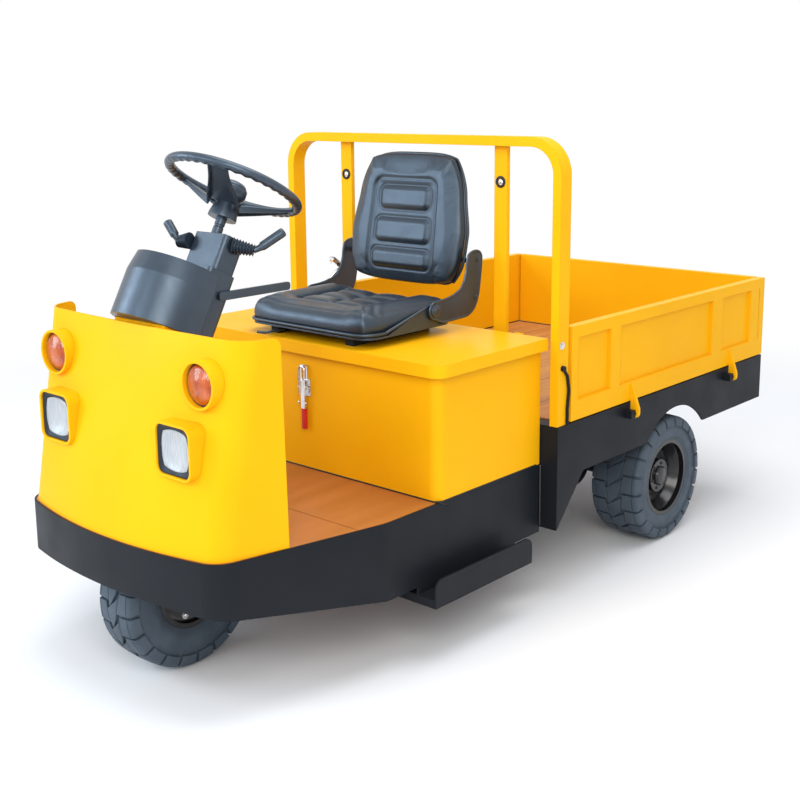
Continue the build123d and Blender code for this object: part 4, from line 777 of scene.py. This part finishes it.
def cushion_piping():
    """From one arm round the front to the other."""
    lip = seat_high[0] + 0.0022
    front = seat_low[1] - 0.003
    foot = seat_low[2] + 0.008
    half = [station_spot(lip, -246, 949), (lip, GUARD_FRONT - 0.40, foot + 0.006),
            (lip, seat_low[1] + PIPING_CORNER + 0.03, foot)]
    for k in range(7):
        turn = pi / 2 * k / 6
        x = lip - PIPING_CORNER * (1 - cos(turn))
        half.append((x, front + PIPING_CORNER * (1 - sin(turn)), foot))
    half += [(x, front, foot) for x in (0.15, 0.08)]
    other = [(-x, y, z) for x, y, z in reversed(half)]
    points = soft_path(half + [(0, front, foot)] + other, 4)
    bar("cushion_piping", "seat_vinyl", "lid", points, PIPING_R)


backrest_piping()
cushion_piping()

# Recline lever with a bright knob, and the bar that frees the seat's slide
ARM_PIVOT = (-205, 939)
LEVER_X = -0.2963
LEVER_R = 0.0055
LEVER_SPOTS = (ARM_PIVOT, (-120, 962), (-40, 1012))
LEVER_EYE = ((0, -0.006), (0.011, -0.006), (0.011, 0.006), (0, 0.006))
KNOB_FOOT = (-30, 1005)
KNOB_AXIS = (0, -0.062, 0.042)
KNOB = ((0, 0), (0.007, 0), (0.009, 0.006), (0.0125, 0.016), (0.0130, 0.058), (0.0115, 0.068), (0.007, 0.074),
        (0, 0.075))
SLIDE_BAR_R = 0.0045
# Across, run behind the cushion's front edge, and height
SLIDE_BAR = ((-0.125, 0.035, 0.874), (-0.125, -0.020, 0.874), (-0.132, -0.042, 0.873),
             (-0.158, -0.050, 0.873))


def make_recline_lever():
    builder = bmesh.new()
    stem = soft_path([station_spot(LEVER_X, *spot) for spot in LEVER_SPOTS])
    tube(builder, stem, [LEVER_R] * len(stem), 12)
    lathe(builder, LEVER_EYE, stem[0], (1, 0, 0), 20)
    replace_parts(add_piece("recline_stem", builder, "bright_steel", "lid"), "recline_lever")
    knob_foot = station_spot(LEVER_X, *KNOB_FOOT)
    turned("recline_knob", "bright_steel", "lid", KNOB, knob_foot, KNOB_AXIS, 8, sharp=25)


make_recline_lever()
slide_bar = soft_path([(x, seat_low[1] + run, z) for x, run, z in SLIDE_BAR])
bar("slide_bar", "black_plastic", "lid", slide_bar, SLIDE_BAR_R)

# Arms of the backrest: plates with a rolled edge, a boss on the pivot, bolts and a tie tube
ARM_OUTLINE = (
    (-205, 912), (-167, 900), (-97, 901), (-45, 905), (-12, 925), (8, 965), (18, 1020), (25, 1082),
    (14, 1103), (-10, 1108), (-35, 1101), (-46, 1085), (-54, 1040), (-75, 998), (-115, 978), (-160, 969),
    (-205, 966), (-222, 960), (-231, 946), (-231, 932), (-222, 919),
)
ARM_BOLTS = ((2, 1080), (-8, 960))
ARM_BOSS = ((0.020, 0), (0.020, 0.003), (0.016, 0.005), (0.011, 0.005), (0.010, 0.0065), (0, 0.007))
ARM_IN = 0.2713
ARM_PLATE = 0.0065
ARM_EDGE_R = 0.0040
TIE = (14.3, 1070)
TIE_R = 0.008


def make_arms():
    builder = bmesh.new()
    closed = ARM_OUTLINE[-1:] + ARM_OUTLINE + ARM_OUTLINE[:2]
    for side in (-1, 1):
        outline = soft_path([station_spot(side * ARM_IN, *spot) for spot in closed], 4)[4:-5]
        inner = [builder.verts.new(spot) for spot in outline]
        outer = [builder.verts.new(spot + Vector((side * ARM_PLATE, 0, 0))) for spot in outline]
        ring_faces(builder, inner, outer)
        builder.faces.new(inner)
        builder.faces.new(outer)
        edge = [spot + Vector((side * ARM_EDGE_R, 0, 0)) for spot in outline]
        tube(builder, edge, [ARM_EDGE_R] * len(edge), 10, closed=True)
        face = side * (ARM_IN + ARM_PLATE)
        lathe(builder, ARM_BOSS, station_spot(face - side * 0.0005, *ARM_PIVOT), (side, 0, 0), 28)
        for spot in ARM_BOLTS:
            hex_bolt(builder, station_spot(face, *spot), (side, 0, 0), 0.006)
    tie = [station_spot(x / 100, *TIE) for x in range(-27, 28, 2)]
    tube(builder, tie, [TIE_R] * len(tie), 16)
    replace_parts(add_piece("backrest_arms", builder, "black_plastic", "backrest"), "seat_arms")


make_arms()

# Steering wheel: rim with finger grips under it, three channelled spokes, horn cap, collar and shaft
STEER_CENTRE = Vector((0, -0.8525, 1.348))
STEER_AXIS = Vector((0, 0.469, 0.883)).normalized()
STEER_Y = STEER_AXIS.cross(ACROSS)
RIM_R = 0.190
RIM_TURNS = 320
RIM_SIDES = 18
GRIP_R = 0.014
FINGERS = 40
FINGER_DEPTH = 0.0028
SPOKE_ANGLES = (-57, 63, 183)
SPOKE_ROOT = 0.030
SPOKE_TIP = 0.186
SPOKE_DIP = 0.058
SPOKE_HALF = 0.046
SPOKE_NARROWING = 0.017
SPOKE_STEPS = 10
FLANGE = 0.017
FLANGE_TAPER = 0.75
PLATE = 0.0028
PLATE_WALL = 0.005
PLATE_SOFT = 0.003
HUB = (
    (0, 0.012), (0.018, 0.0115), (0.031, 0.007), (0.0375, 0.001), (0.039, -0.003), (0.0375, -0.005),
    (0.042, -0.006), (0.044, -0.010), (0.044, -0.028), (0.040, -0.035), (0.031, -0.046), (0.033, -0.052),
    (0.0415, -0.095), (0.0415, -0.102), (0, -0.102),
)
SHAFT = ((0, -0.101), (0.015, -0.101), (0.015, -0.122), (0.0135, -0.124), (0.0135, -0.128), (0.015, -0.130),
         (0.015, -0.199), (0, -0.199))


def wheel_spot(outward, across, u, v, rise):
    return STEER_CENTRE + u * outward + v * across + rise * STEER_AXIS


def make_rim():
    builder = bmesh.new()
    rows = []
    for i in range(RIM_TURNS):
        angle = 2 * pi * i / RIM_TURNS
        outward = cos(angle) * ACROSS + sin(angle) * STEER_Y
        row = []
        for j in range(RIM_SIDES):
            phi = 2 * pi * j / RIM_SIDES
            under = smooth(0.35 - 0.9 * sin(phi)) * smooth(0.9 - 0.7 * cos(phi))
            grip = GRIP_R - FINGER_DEPTH * under * (0.5 + 0.5 * cos(FINGERS * angle))
            spot = wheel_spot(outward, ACROSS, RIM_R + grip * cos(phi), 0, grip * sin(phi))
            row.append(builder.verts.new(spot))
        rows.append(row)
    for first, second in zip(rows, rows[1:] + rows[:1]):
        ring_faces(builder, first, second)
    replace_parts(add_piece("steering_rim", builder, "black_plastic", "steering", sharp=60), "steering_wheel")


def spoke_section(share):
    """Channel with its flanges turned down, at a share of the way from hub to rim."""
    half = SPOKE_HALF - SPOKE_NARROWING * smooth(1.2 * share)
    flange = PLATE + FLANGE * (1 - FLANGE_TAPER * share)
    outer = [(half - PLATE_SOFT, PLATE), (half, PLATE - PLATE_SOFT), (half, -flange)]
    inner = [(half - PLATE_WALL, -flange), (half - PLATE_WALL, -PLATE)]
    right = outer + inner
    return [(-v, d) for v, d in reversed(outer)] + right + [(-v, d) for v, d in reversed(inner)]


def make_spokes():
    builder = bmesh.new()
    for angle in SPOKE_ANGLES:
        turn = radians(angle)
        outward = cos(turn) * ACROSS + sin(turn) * STEER_Y
        across = STEER_AXIS.cross(outward)
        rows = []
        for k in range(SPOKE_STEPS + 1):
            share = k / SPOKE_STEPS
            u = SPOKE_ROOT + (SPOKE_TIP - SPOKE_ROOT) * share
            rise = -SPOKE_DIP * (1 - share) ** 0.9
            section = spoke_section(share)
            rows.append([builder.verts.new(wheel_spot(outward, across, u, v, rise + d)) for v, d in section])
        for first, second in zip(rows, rows[1:]):
            ring_faces(builder, first, second)
        builder.faces.new(rows[0])
        builder.faces.new(rows[-1])
    add_piece("steering_spokes", builder, "black_plastic", "steering")


make_rim()
make_spokes()
turned("steering_hub", "black_plastic", "steering", HUB, STEER_CENTRE, STEER_AXIS, 48)
turned("steering_shaft", "black_plastic", "steering", SHAFT, STEER_CENTRE, STEER_AXIS, 24)

# Stalks: ribbed boots and thick round-ended handles, with root, neck, bend and tip of each.
# A spot is across, run behind the wheel's centre, and height.
STALKS = (
    ((-0.066, -0.112, 1.196), (-0.104, -0.120, 1.192), (-0.118, -0.121, 1.206), (-0.150, -0.123, 1.245)),
    ((0.066, -0.066, 1.187), (0.112, -0.030, 1.174), (0.121, -0.014, 1.181), (0.152, 0.047, 1.222)),
)
FOLDS = 14
FOLD_DEPTH = 0.0055
BOOT_R = 0.0245
BOOT_TAPER = 0.007
HANDLE_STEPS = 10
HANDLE_RADII = [0.0085, 0.0095] + [0.0130 + 0.0006 * k / 9 for k in range(9)] + [0.0128, 0.0095]
HANDLE_END = 0.002


def make_stalks():
    boots = bmesh.new()
    handles = bmesh.new()
    for points in STALKS:
        root, neck, bend, tip = [Vector((x, STEER_CENTRE.y + run, z)) for x, run, z in points]
        radii = [BOOT_R - BOOT_TAPER * k / FOLDS - FOLD_DEPTH * (k % 2) for k in range(FOLDS + 1)]
        tube(boots, [root.lerp(neck, k / FOLDS) for k in range(FOLDS + 1)], radii, 20)
        grip = [bend.lerp(tip, k / HANDLE_STEPS) for k in range(HANDLE_STEPS + 1)]
        end = tip + HANDLE_END * (tip - bend).normalized()
        tube(handles, [neck] + grip + [end], HANDLE_RADII, 18)
    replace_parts(add_piece("stalk_boots", boots, "black_plastic", "chassis", sharp=28), "stalks")
    add_piece("stalk_handles", handles, "black_plastic", "chassis", sharp=70)


make_stalks()

# Indicators: domed amber glass with rings moulded in, held by a black rim
FORWARD = (0, -1, 0)
lens_low, lens_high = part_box("indicator_lenses")
LENS_R = (lens_high[2] - lens_low[2]) / 2
LENS_X = lens_high[0] - LENS_R
LENS_Z = lens_low[2] + LENS_R
DOME = (
    (0, 0.0205), (0.010, 0.0202), (0.018, 0.0190), (0.020, 0.0176), (0.030, 0.0168), (0.032, 0.0152),
    (0.042, 0.0130), (0.044, 0.0112), (0.050, 0.0080), (0.0540, 0.0030), (0.0540, 0),
)
RING = ((0.0535, 0.0010), (0.0540, 0.0035), (0.0555, 0.0045), (LENS_R, 0.0030), (LENS_R, 0), (0.050, -0.0005),
        (0, -0.0005))


def make_indicators():
    glass = bmesh.new()
    rims = bmesh.new()
    for side in (-1, 1):
        seat = (side * LENS_X, lens_high[1], LENS_Z)
        lathe(glass, DOME, seat, FORWARD, 48)
        lathe(rims, RING, seat, FORWARD, 48)
    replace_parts(add_piece("indicator_glass", glass, "amber_lens", "chassis", sharp=50), "indicator_lenses")
    add_piece("indicator_rims", rims, "gasket_rubber", "chassis")


make_indicators()

# Headlamps: rounded square glass over a bright dish, in a thick rubber frame
lamp_low, lamp_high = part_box("headlamp_lenses")
LAMP_HALF = (lamp_high[2] - lamp_low[2]) / 2
LAMP_X = lamp_high[0] - LAMP_HALF
LAMP_Z = lamp_low[2] + LAMP_HALF
LAMP_GRID = 20
LAMP_ROUND = 0.30
# Rings of a lamp's frame: half width, squareness and depth, from its back over the lip to the glass
FRAME_RINGS = (
    (0.0660, 9, 0), (0.0660, 9, -0.0105), (0.0640, 9, -0.0130), (0.0605, 8, -0.0130), (0.0570, 6, -0.0105),
    (0.0540, 4, -0.0082), (0.0515, 4, -0.0060),
)
FRAME_SEGMENTS = 72


def lamp_sheet(builder, middle, depth):
    """Rounded square sheet facing the nose, with its depth given over the unit square."""
    shares = [2 * k / LAMP_GRID - 1 for k in range(LAMP_GRID + 1)]
    rows = []
    for t in shares:
        row = []
        for s in shares:
            a = LAMP_HALF * s * sqrt(1 - LAMP_ROUND * t * t)
            b = LAMP_HALF * t * sqrt(1 - LAMP_ROUND * s * s)
            row.append(builder.verts.new(middle + Vector((a, depth(s, t), b))))
        rows.append(row)
    grid_faces(builder, rows)


def glass_depth(s, t):
    return -0.0085 - 0.005 * (1 - s * s) * (1 - t * t)


def dish_depth(s, t):
    return -0.0005 - 0.006 * min(1.0, s * s + t * t)


def lamp_frame(builder, middle):
    rings = [[builder.verts.new(middle)]]
    for reach, power, depth in FRAME_RINGS:
        ring = []
        for k in range(FRAME_SEGMENTS):
            angle = 2 * pi * k / FRAME_SEGMENTS
            c, d = cos(angle), sin(angle)
            span = reach / (abs(c) ** power + abs(d) ** power) ** (1 / power)
            ring.append(builder.verts.new(middle + Vector((span * c, depth, span * d))))
        rings.append(ring)
    for first, second in zip(rings, rings[1:]):
        ring_faces(builder, first, second)


def make_headlamps():
    glass = bmesh.new()
    dishes = bmesh.new()
    frames = bmesh.new()
    for side in (-1, 1):
        middle = Vector((side * LAMP_X, lamp_high[1], LAMP_Z))
        lamp_sheet(glass, middle, glass_depth)
        lamp_sheet(dishes, middle, dish_depth)
        lamp_frame(frames, middle)
    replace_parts(add_piece("headlamp_glass", glass, "clear_lens", "chassis"), "headlamp_lenses")
    add_piece("headlamp_dishes", dishes, "bright_steel", "chassis")
    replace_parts(add_piece("headlamp_frames", frames, "gasket_rubber", "chassis"), "headlamp_gaskets")


make_headlamps()

# Wheel nuts, hub caps and dish rings. Faces are distances from the middle of the truck.
HUB_NUTS = 6
HUB_TURN = 0.3
CAP_BOLT_RING = 0.046
CAP_BOLT = 0.0055
CAP = ((0.036, 0), (0.036, 0.006), (0.031, 0.013), (0.020, 0.016), (0, 0.017))
REAR_HUB = dict(
    middle=REAR_AXLE, face=0.510, hub=0.540, nut_ring=0.088, nut=0.011, nut_slot="rim_paint",
    dish=((0.1255, 0.040), (0.1235, 0.043), (0.1215, 0.040), (0.116, 0.024), (0.108, 0.010), (0.104, 0.0005)),
)
FRONT_HUB = dict(
    middle=FRONT_AXLE, face=0.045, hub=0.035, nut_ring=0.079, nut=0.009, nut_slot="bright_steel",
    dish=((0.0990, 0.004), (0.0945, 0.0015), (0.088, 0), (0.064, 0), (0.0605, -0.006)),
)
SIDES = (("left", 1), ("right", -1))


def make_hub(name, body, side, middle, face, hub, nut_ring, nut, nut_slot, dish):
    axis = Vector((side, 0, 0))
    nuts = bmesh.new()
    for k in range(HUB_NUTS):
        turn = 2 * pi * (k + HUB_TURN) / HUB_NUTS
        spot = (side * face, middle.y + nut_ring * cos(turn), middle.z + nut_ring * sin(turn))
        hex_bolt(nuts, spot, axis, nut)
        spot = (side * hub, middle.y + CAP_BOLT_RING * sin(turn), middle.z + CAP_BOLT_RING * cos(turn))
        hex_bolt(nuts, spot, axis, CAP_BOLT)
    add_piece(name + "_nuts", nuts, nut_slot, body)
    cap = bmesh.new()
    lathe(cap, CAP, (side * hub, middle.y, middle.z), axis, 32)
    lathe(cap, dish, (side * face, middle.y, middle.z), axis, 64)
    add_piece(name + "_cap", cap, "rim_paint", body)


for name, side in SIDES:
    make_hub(f"rear_hub_{name}", f"rear_wheel_{name}", side, **REAR_HUB)
for name, side in SIDES:
    make_hub(f"front_hub_{name}", "front_wheel", side, **FRONT_HUB)

# Guard bolts in black rings, leg bolts and the weld beads of the skirt
POST_BOLT = (0.340, 40, 1327)
LEG_BOLT = (0.5975, 18, 836)
BOLT_RING = ((0.0185, 0), (0.0185, 0.003), (0.016, 0.005), (0.011, 0.005), (0.011, 0))
WELD_BEADS = 44
WELD_X = 0.536
WELD_TOP = 447
WELD_LENGTH = 200


def make_guard_bolts():
    rings = bmesh.new()
    bolts = bmesh.new()
    welds = bmesh.new()
    for side in (-1, 1):
        post = station_spot(side * POST_BOLT[0], *POST_BOLT[1:])
        lathe(rings, BOLT_RING, post, FORWARD, 28)
        hex_bolt(bolts, post, FORWARD, 0.006)
        hex_bolt(bolts, station_spot(side * LEG_BOLT[0], *LEG_BOLT[1:]), (side, 0, 0), 0.009)
        beads = range(WELD_BEADS + 1)
        line = [station_spot(side * WELD_X, -2, WELD_TOP - WELD_LENGTH * k / WELD_BEADS) for k in beads]
        tube(welds, line, [0.0062 if k % 2 else 0.0046 for k in beads], 10)
    add_piece("guard_rings", rings, "gasket_rubber", "chassis")
    add_piece("guard_bolts", bolts, "bright_steel", "chassis")
    add_piece("skirt_welds", welds, "rim_paint", "chassis", sharp=90)


make_guard_bolts()

# Rubber strip where the battery box meets the floor
STRIP_Z = 0.4508
STRIP_R = 0.0022
# Across, and run behind the box's front face
STRIP_FRONT = ((-0.5, 0), (0.49, 0), (0.520, 0.004), (0.532, 0.018), (0.5345, 0.045))
box_low, box_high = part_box("battery_box")
strip = [(x, box_low[1] + run, STRIP_Z) for x, run in STRIP_FRONT]
strip.append((STRIP_FRONT[-1][0], box_high[1] - 0.02, STRIP_Z))
bar("box_strip", "gasket_rubber", "chassis", soft_path(strip), STRIP_R, 8)

# Screws in the bed's planks
SCREW = ((0.0065, 0), (0.0060, 0.0011), (0.002, 0.0013), (0.0015, 0.0004), (0, 0.0004))
SCREW_ROWS = (0.03, 0.36, 0.68, 0.97)
SCREW_COLUMNS = 12
SCREW_SINK = 0.0006


def make_bed_screws():
    low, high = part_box("bed_floor")
    screws = bmesh.new()
    for row in SCREW_ROWS:
        for k in range(SCREW_COLUMNS):
            x = low[0] + (k + 0.5) / SCREW_COLUMNS * (high[0] - low[0])
            spot = (x, low[1] + row * (high[1] - low[1]), high[2] - SCREW_SINK)
            lathe(screws, SCREW, spot, (0, 0, 1), 12)
    add_piece("bed_screws", screws, "bright_steel", "chassis")


make_bed_screws()

# Wire bail and rivets of the toggle latch
BAIL_R = 0.0026
# Across, reach in front of the latch, and height, over half of the bail from its foot to its top
BAIL_HALF = ((0.012, 0, 0.690), (0.012, 0.002, 0.745), (0.011, 0.001, 0.772))
BAIL_TOP = (0, 0, 0.779)
RIVET = ((0.0042, 0), (0.0036, 0.0018), (0.002, 0.0026), (0, 0.0028))
RIVET_X = 0.016
RIVET_ROWS = (0.662, 0.712)


def make_latch_bail():
    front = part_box("toggle_latch")[0][1]
    bail = bmesh.new()
    half = [(-x, reach, z) for x, reach, z in BAIL_HALF]
    spots = half + [BAIL_TOP] + list(reversed(BAIL_HALF))
    wire = soft_path([(x, front - 0.0015 - reach, z) for x, reach, z in spots], 5)
    tube(bail, wire, [BAIL_R] * len(wire), 10)
    for z in RIVET_ROWS:
        for x in (-RIVET_X, RIVET_X):
            lathe(bail, RIVET, (x, front, z), FORWARD, 14)
    add_piece("latch_bail", bail, "bright_steel", "chassis")


make_latch_bail()


# Stage, light and camera
FLOOR_SIZE = 30
FLOOR_FADE = (2.4, 4.5)
# Name, place, target, size, power and colour of each lamp
LAMPS = (
    ("key", (-3.6, -4.2, 2.6), (0, -0.5, 0.8), 2.7, 130, (0.74, 0.87, 1.0)),
    ("front", (-0.2, -5.8, 3.0), (0, -0.8, 0.8), 2.1, 75, (0.82, 0.91, 1.0)),
    ("fill", (3.5, -3.7, 3.2), (0, -0.2, 0.6), 3.0, 130, (1.0, 0.97, 0.92)),
    ("top", (0.6, 0.2, 5.0), (0, 0, 0), 4.0, 130, (0.95, 0.97, 1.0)),
)


def area_light(name, place, target, size, power, colour):
    lamp = bpy.data.lights.new(name, "AREA")
    lamp.shape = "DISK"
    lamp.size = size
    lamp.energy = power
    lamp.color = colour
    holder = bpy.data.objects.new(name, lamp)
    holder.location = place
    holder.rotation_euler = (Vector(target) - Vector(place)).to_track_quat("-Z", "Y").to_euler()
    bpy.context.collection.objects.link(holder)


def combined(tree, operation, first, second):
    node = tree.nodes.new("ShaderNodeMath")
    node.operation = operation
    node.use_clamp = True
    tree.links.new(first, node.inputs[0])
    tree.links.new(second, node.inputs[1])
    return node.outputs["Value"]


def seen_rays(tree):
    """One where the camera, a mirror or glass looks, and zero for light."""
    path = tree.nodes.new("ShaderNodeLightPath")
    total = path.outputs["Is Camera Ray"]
    for kind in ("Is Glossy Ray", "Is Transmission Ray"):
        total = combined(tree, "ADD", total, path.outputs[kind])
    return total


def make_stage():
    builder = bmesh.new()
    bmesh.ops.create_grid(builder, x_segments=1, y_segments=1, size=FLOOR_SIZE)
    mesh = bpy.data.meshes.new("floor")
    builder.to_mesh(mesh)
    builder.free()
    floor = bpy.data.objects.new("floor", mesh)
    bpy.context.collection.objects.link(floor)
    material, tree, shader = new_material("floor")
    set_inputs(shader, {"Base Color": (0.86, 0.86, 0.86, 1), "Roughness": 0.9, "Specular IOR Level": 0.1})
    # Away from the truck the floor runs out into the white of the backdrop
    place = tree.nodes.new("ShaderNodeTexCoord")
    reach = tree.nodes.new("ShaderNodeVectorMath")
    reach.operation = "LENGTH"
    tree.links.new(place.outputs["Object"], reach.inputs[0])
    span = tree.nodes.new("ShaderNodeMapRange")
    span.interpolation_type = "SMOOTHSTEP"
    set_inputs(span, {"From Min": FLOOR_FADE[0], "From Max": FLOOR_FADE[1]})
    tree.links.new(reach.outputs["Value"], span.inputs["Value"])
    shown = combined(tree, "MULTIPLY", span.outputs["Result"], seen_rays(tree))
    white = tree.nodes.new("ShaderNodeEmission")
    mix = tree.nodes.new("ShaderNodeMixShader")
    tree.links.new(shown, mix.inputs["Fac"])
    tree.links.new(shader.outputs["BSDF"], mix.inputs[1])
    tree.links.new(white.outputs["Emission"], mix.inputs[2])
    tree.links.new(mix.outputs["Shader"], tree.nodes["Material Output"].inputs["Surface"])
    mesh.materials.append(material)


def make_world():
    world = bpy.data.worlds.new("studio")
    bpy.context.scene.world = world
    world.use_nodes = True
    tree = world.node_tree
    background = tree.nodes["Background"]
    mix = tree.nodes.new("ShaderNodeMix")
    mix.data_type = "RGBA"
    set_inputs(mix, {"A": (0.68, 0.71, 0.76, 1), "B": (1, 1, 1, 1)})
    tree.links.new(seen_rays(tree), mix.inputs["Factor"])
    tree.links.new(mix.outputs["Result"], background.inputs["Color"])
    background.inputs["Strength"].default_value = 1.0


def make_camera():
    data = bpy.data.cameras.new("camera")
    data.lens = CAMERA_LENS
    data.sensor_width = 36
    data.shift_x, data.shift_y = CAMERA_SHIFT
    camera = bpy.data.objects.new("camera", data)
    azimuth, elevation = radians(CAMERA_AZIMUTH), radians(CAMERA_ELEVATION)
    view = Vector((-sin(azimuth) * cos(elevation), cos(azimuth) * cos(elevation), -sin(elevation)))
    turn = view.to_track_quat("-Z", "Y").to_matrix().to_4x4()
    roll = Matrix.Rotation(radians(CAMERA_ROLL), 4, "Z")
    camera.matrix_world = Matrix.Translation(CAMERA_PLACE) @ turn @ roll
    bpy.context.collection.objects.link(camera)
    bpy.context.scene.camera = camera


make_stage()
make_world()
for lamp in LAMPS:
    area_light(*lamp)
make_camera()
bpy.context.scene.view_settings.view_transform = "Standard"
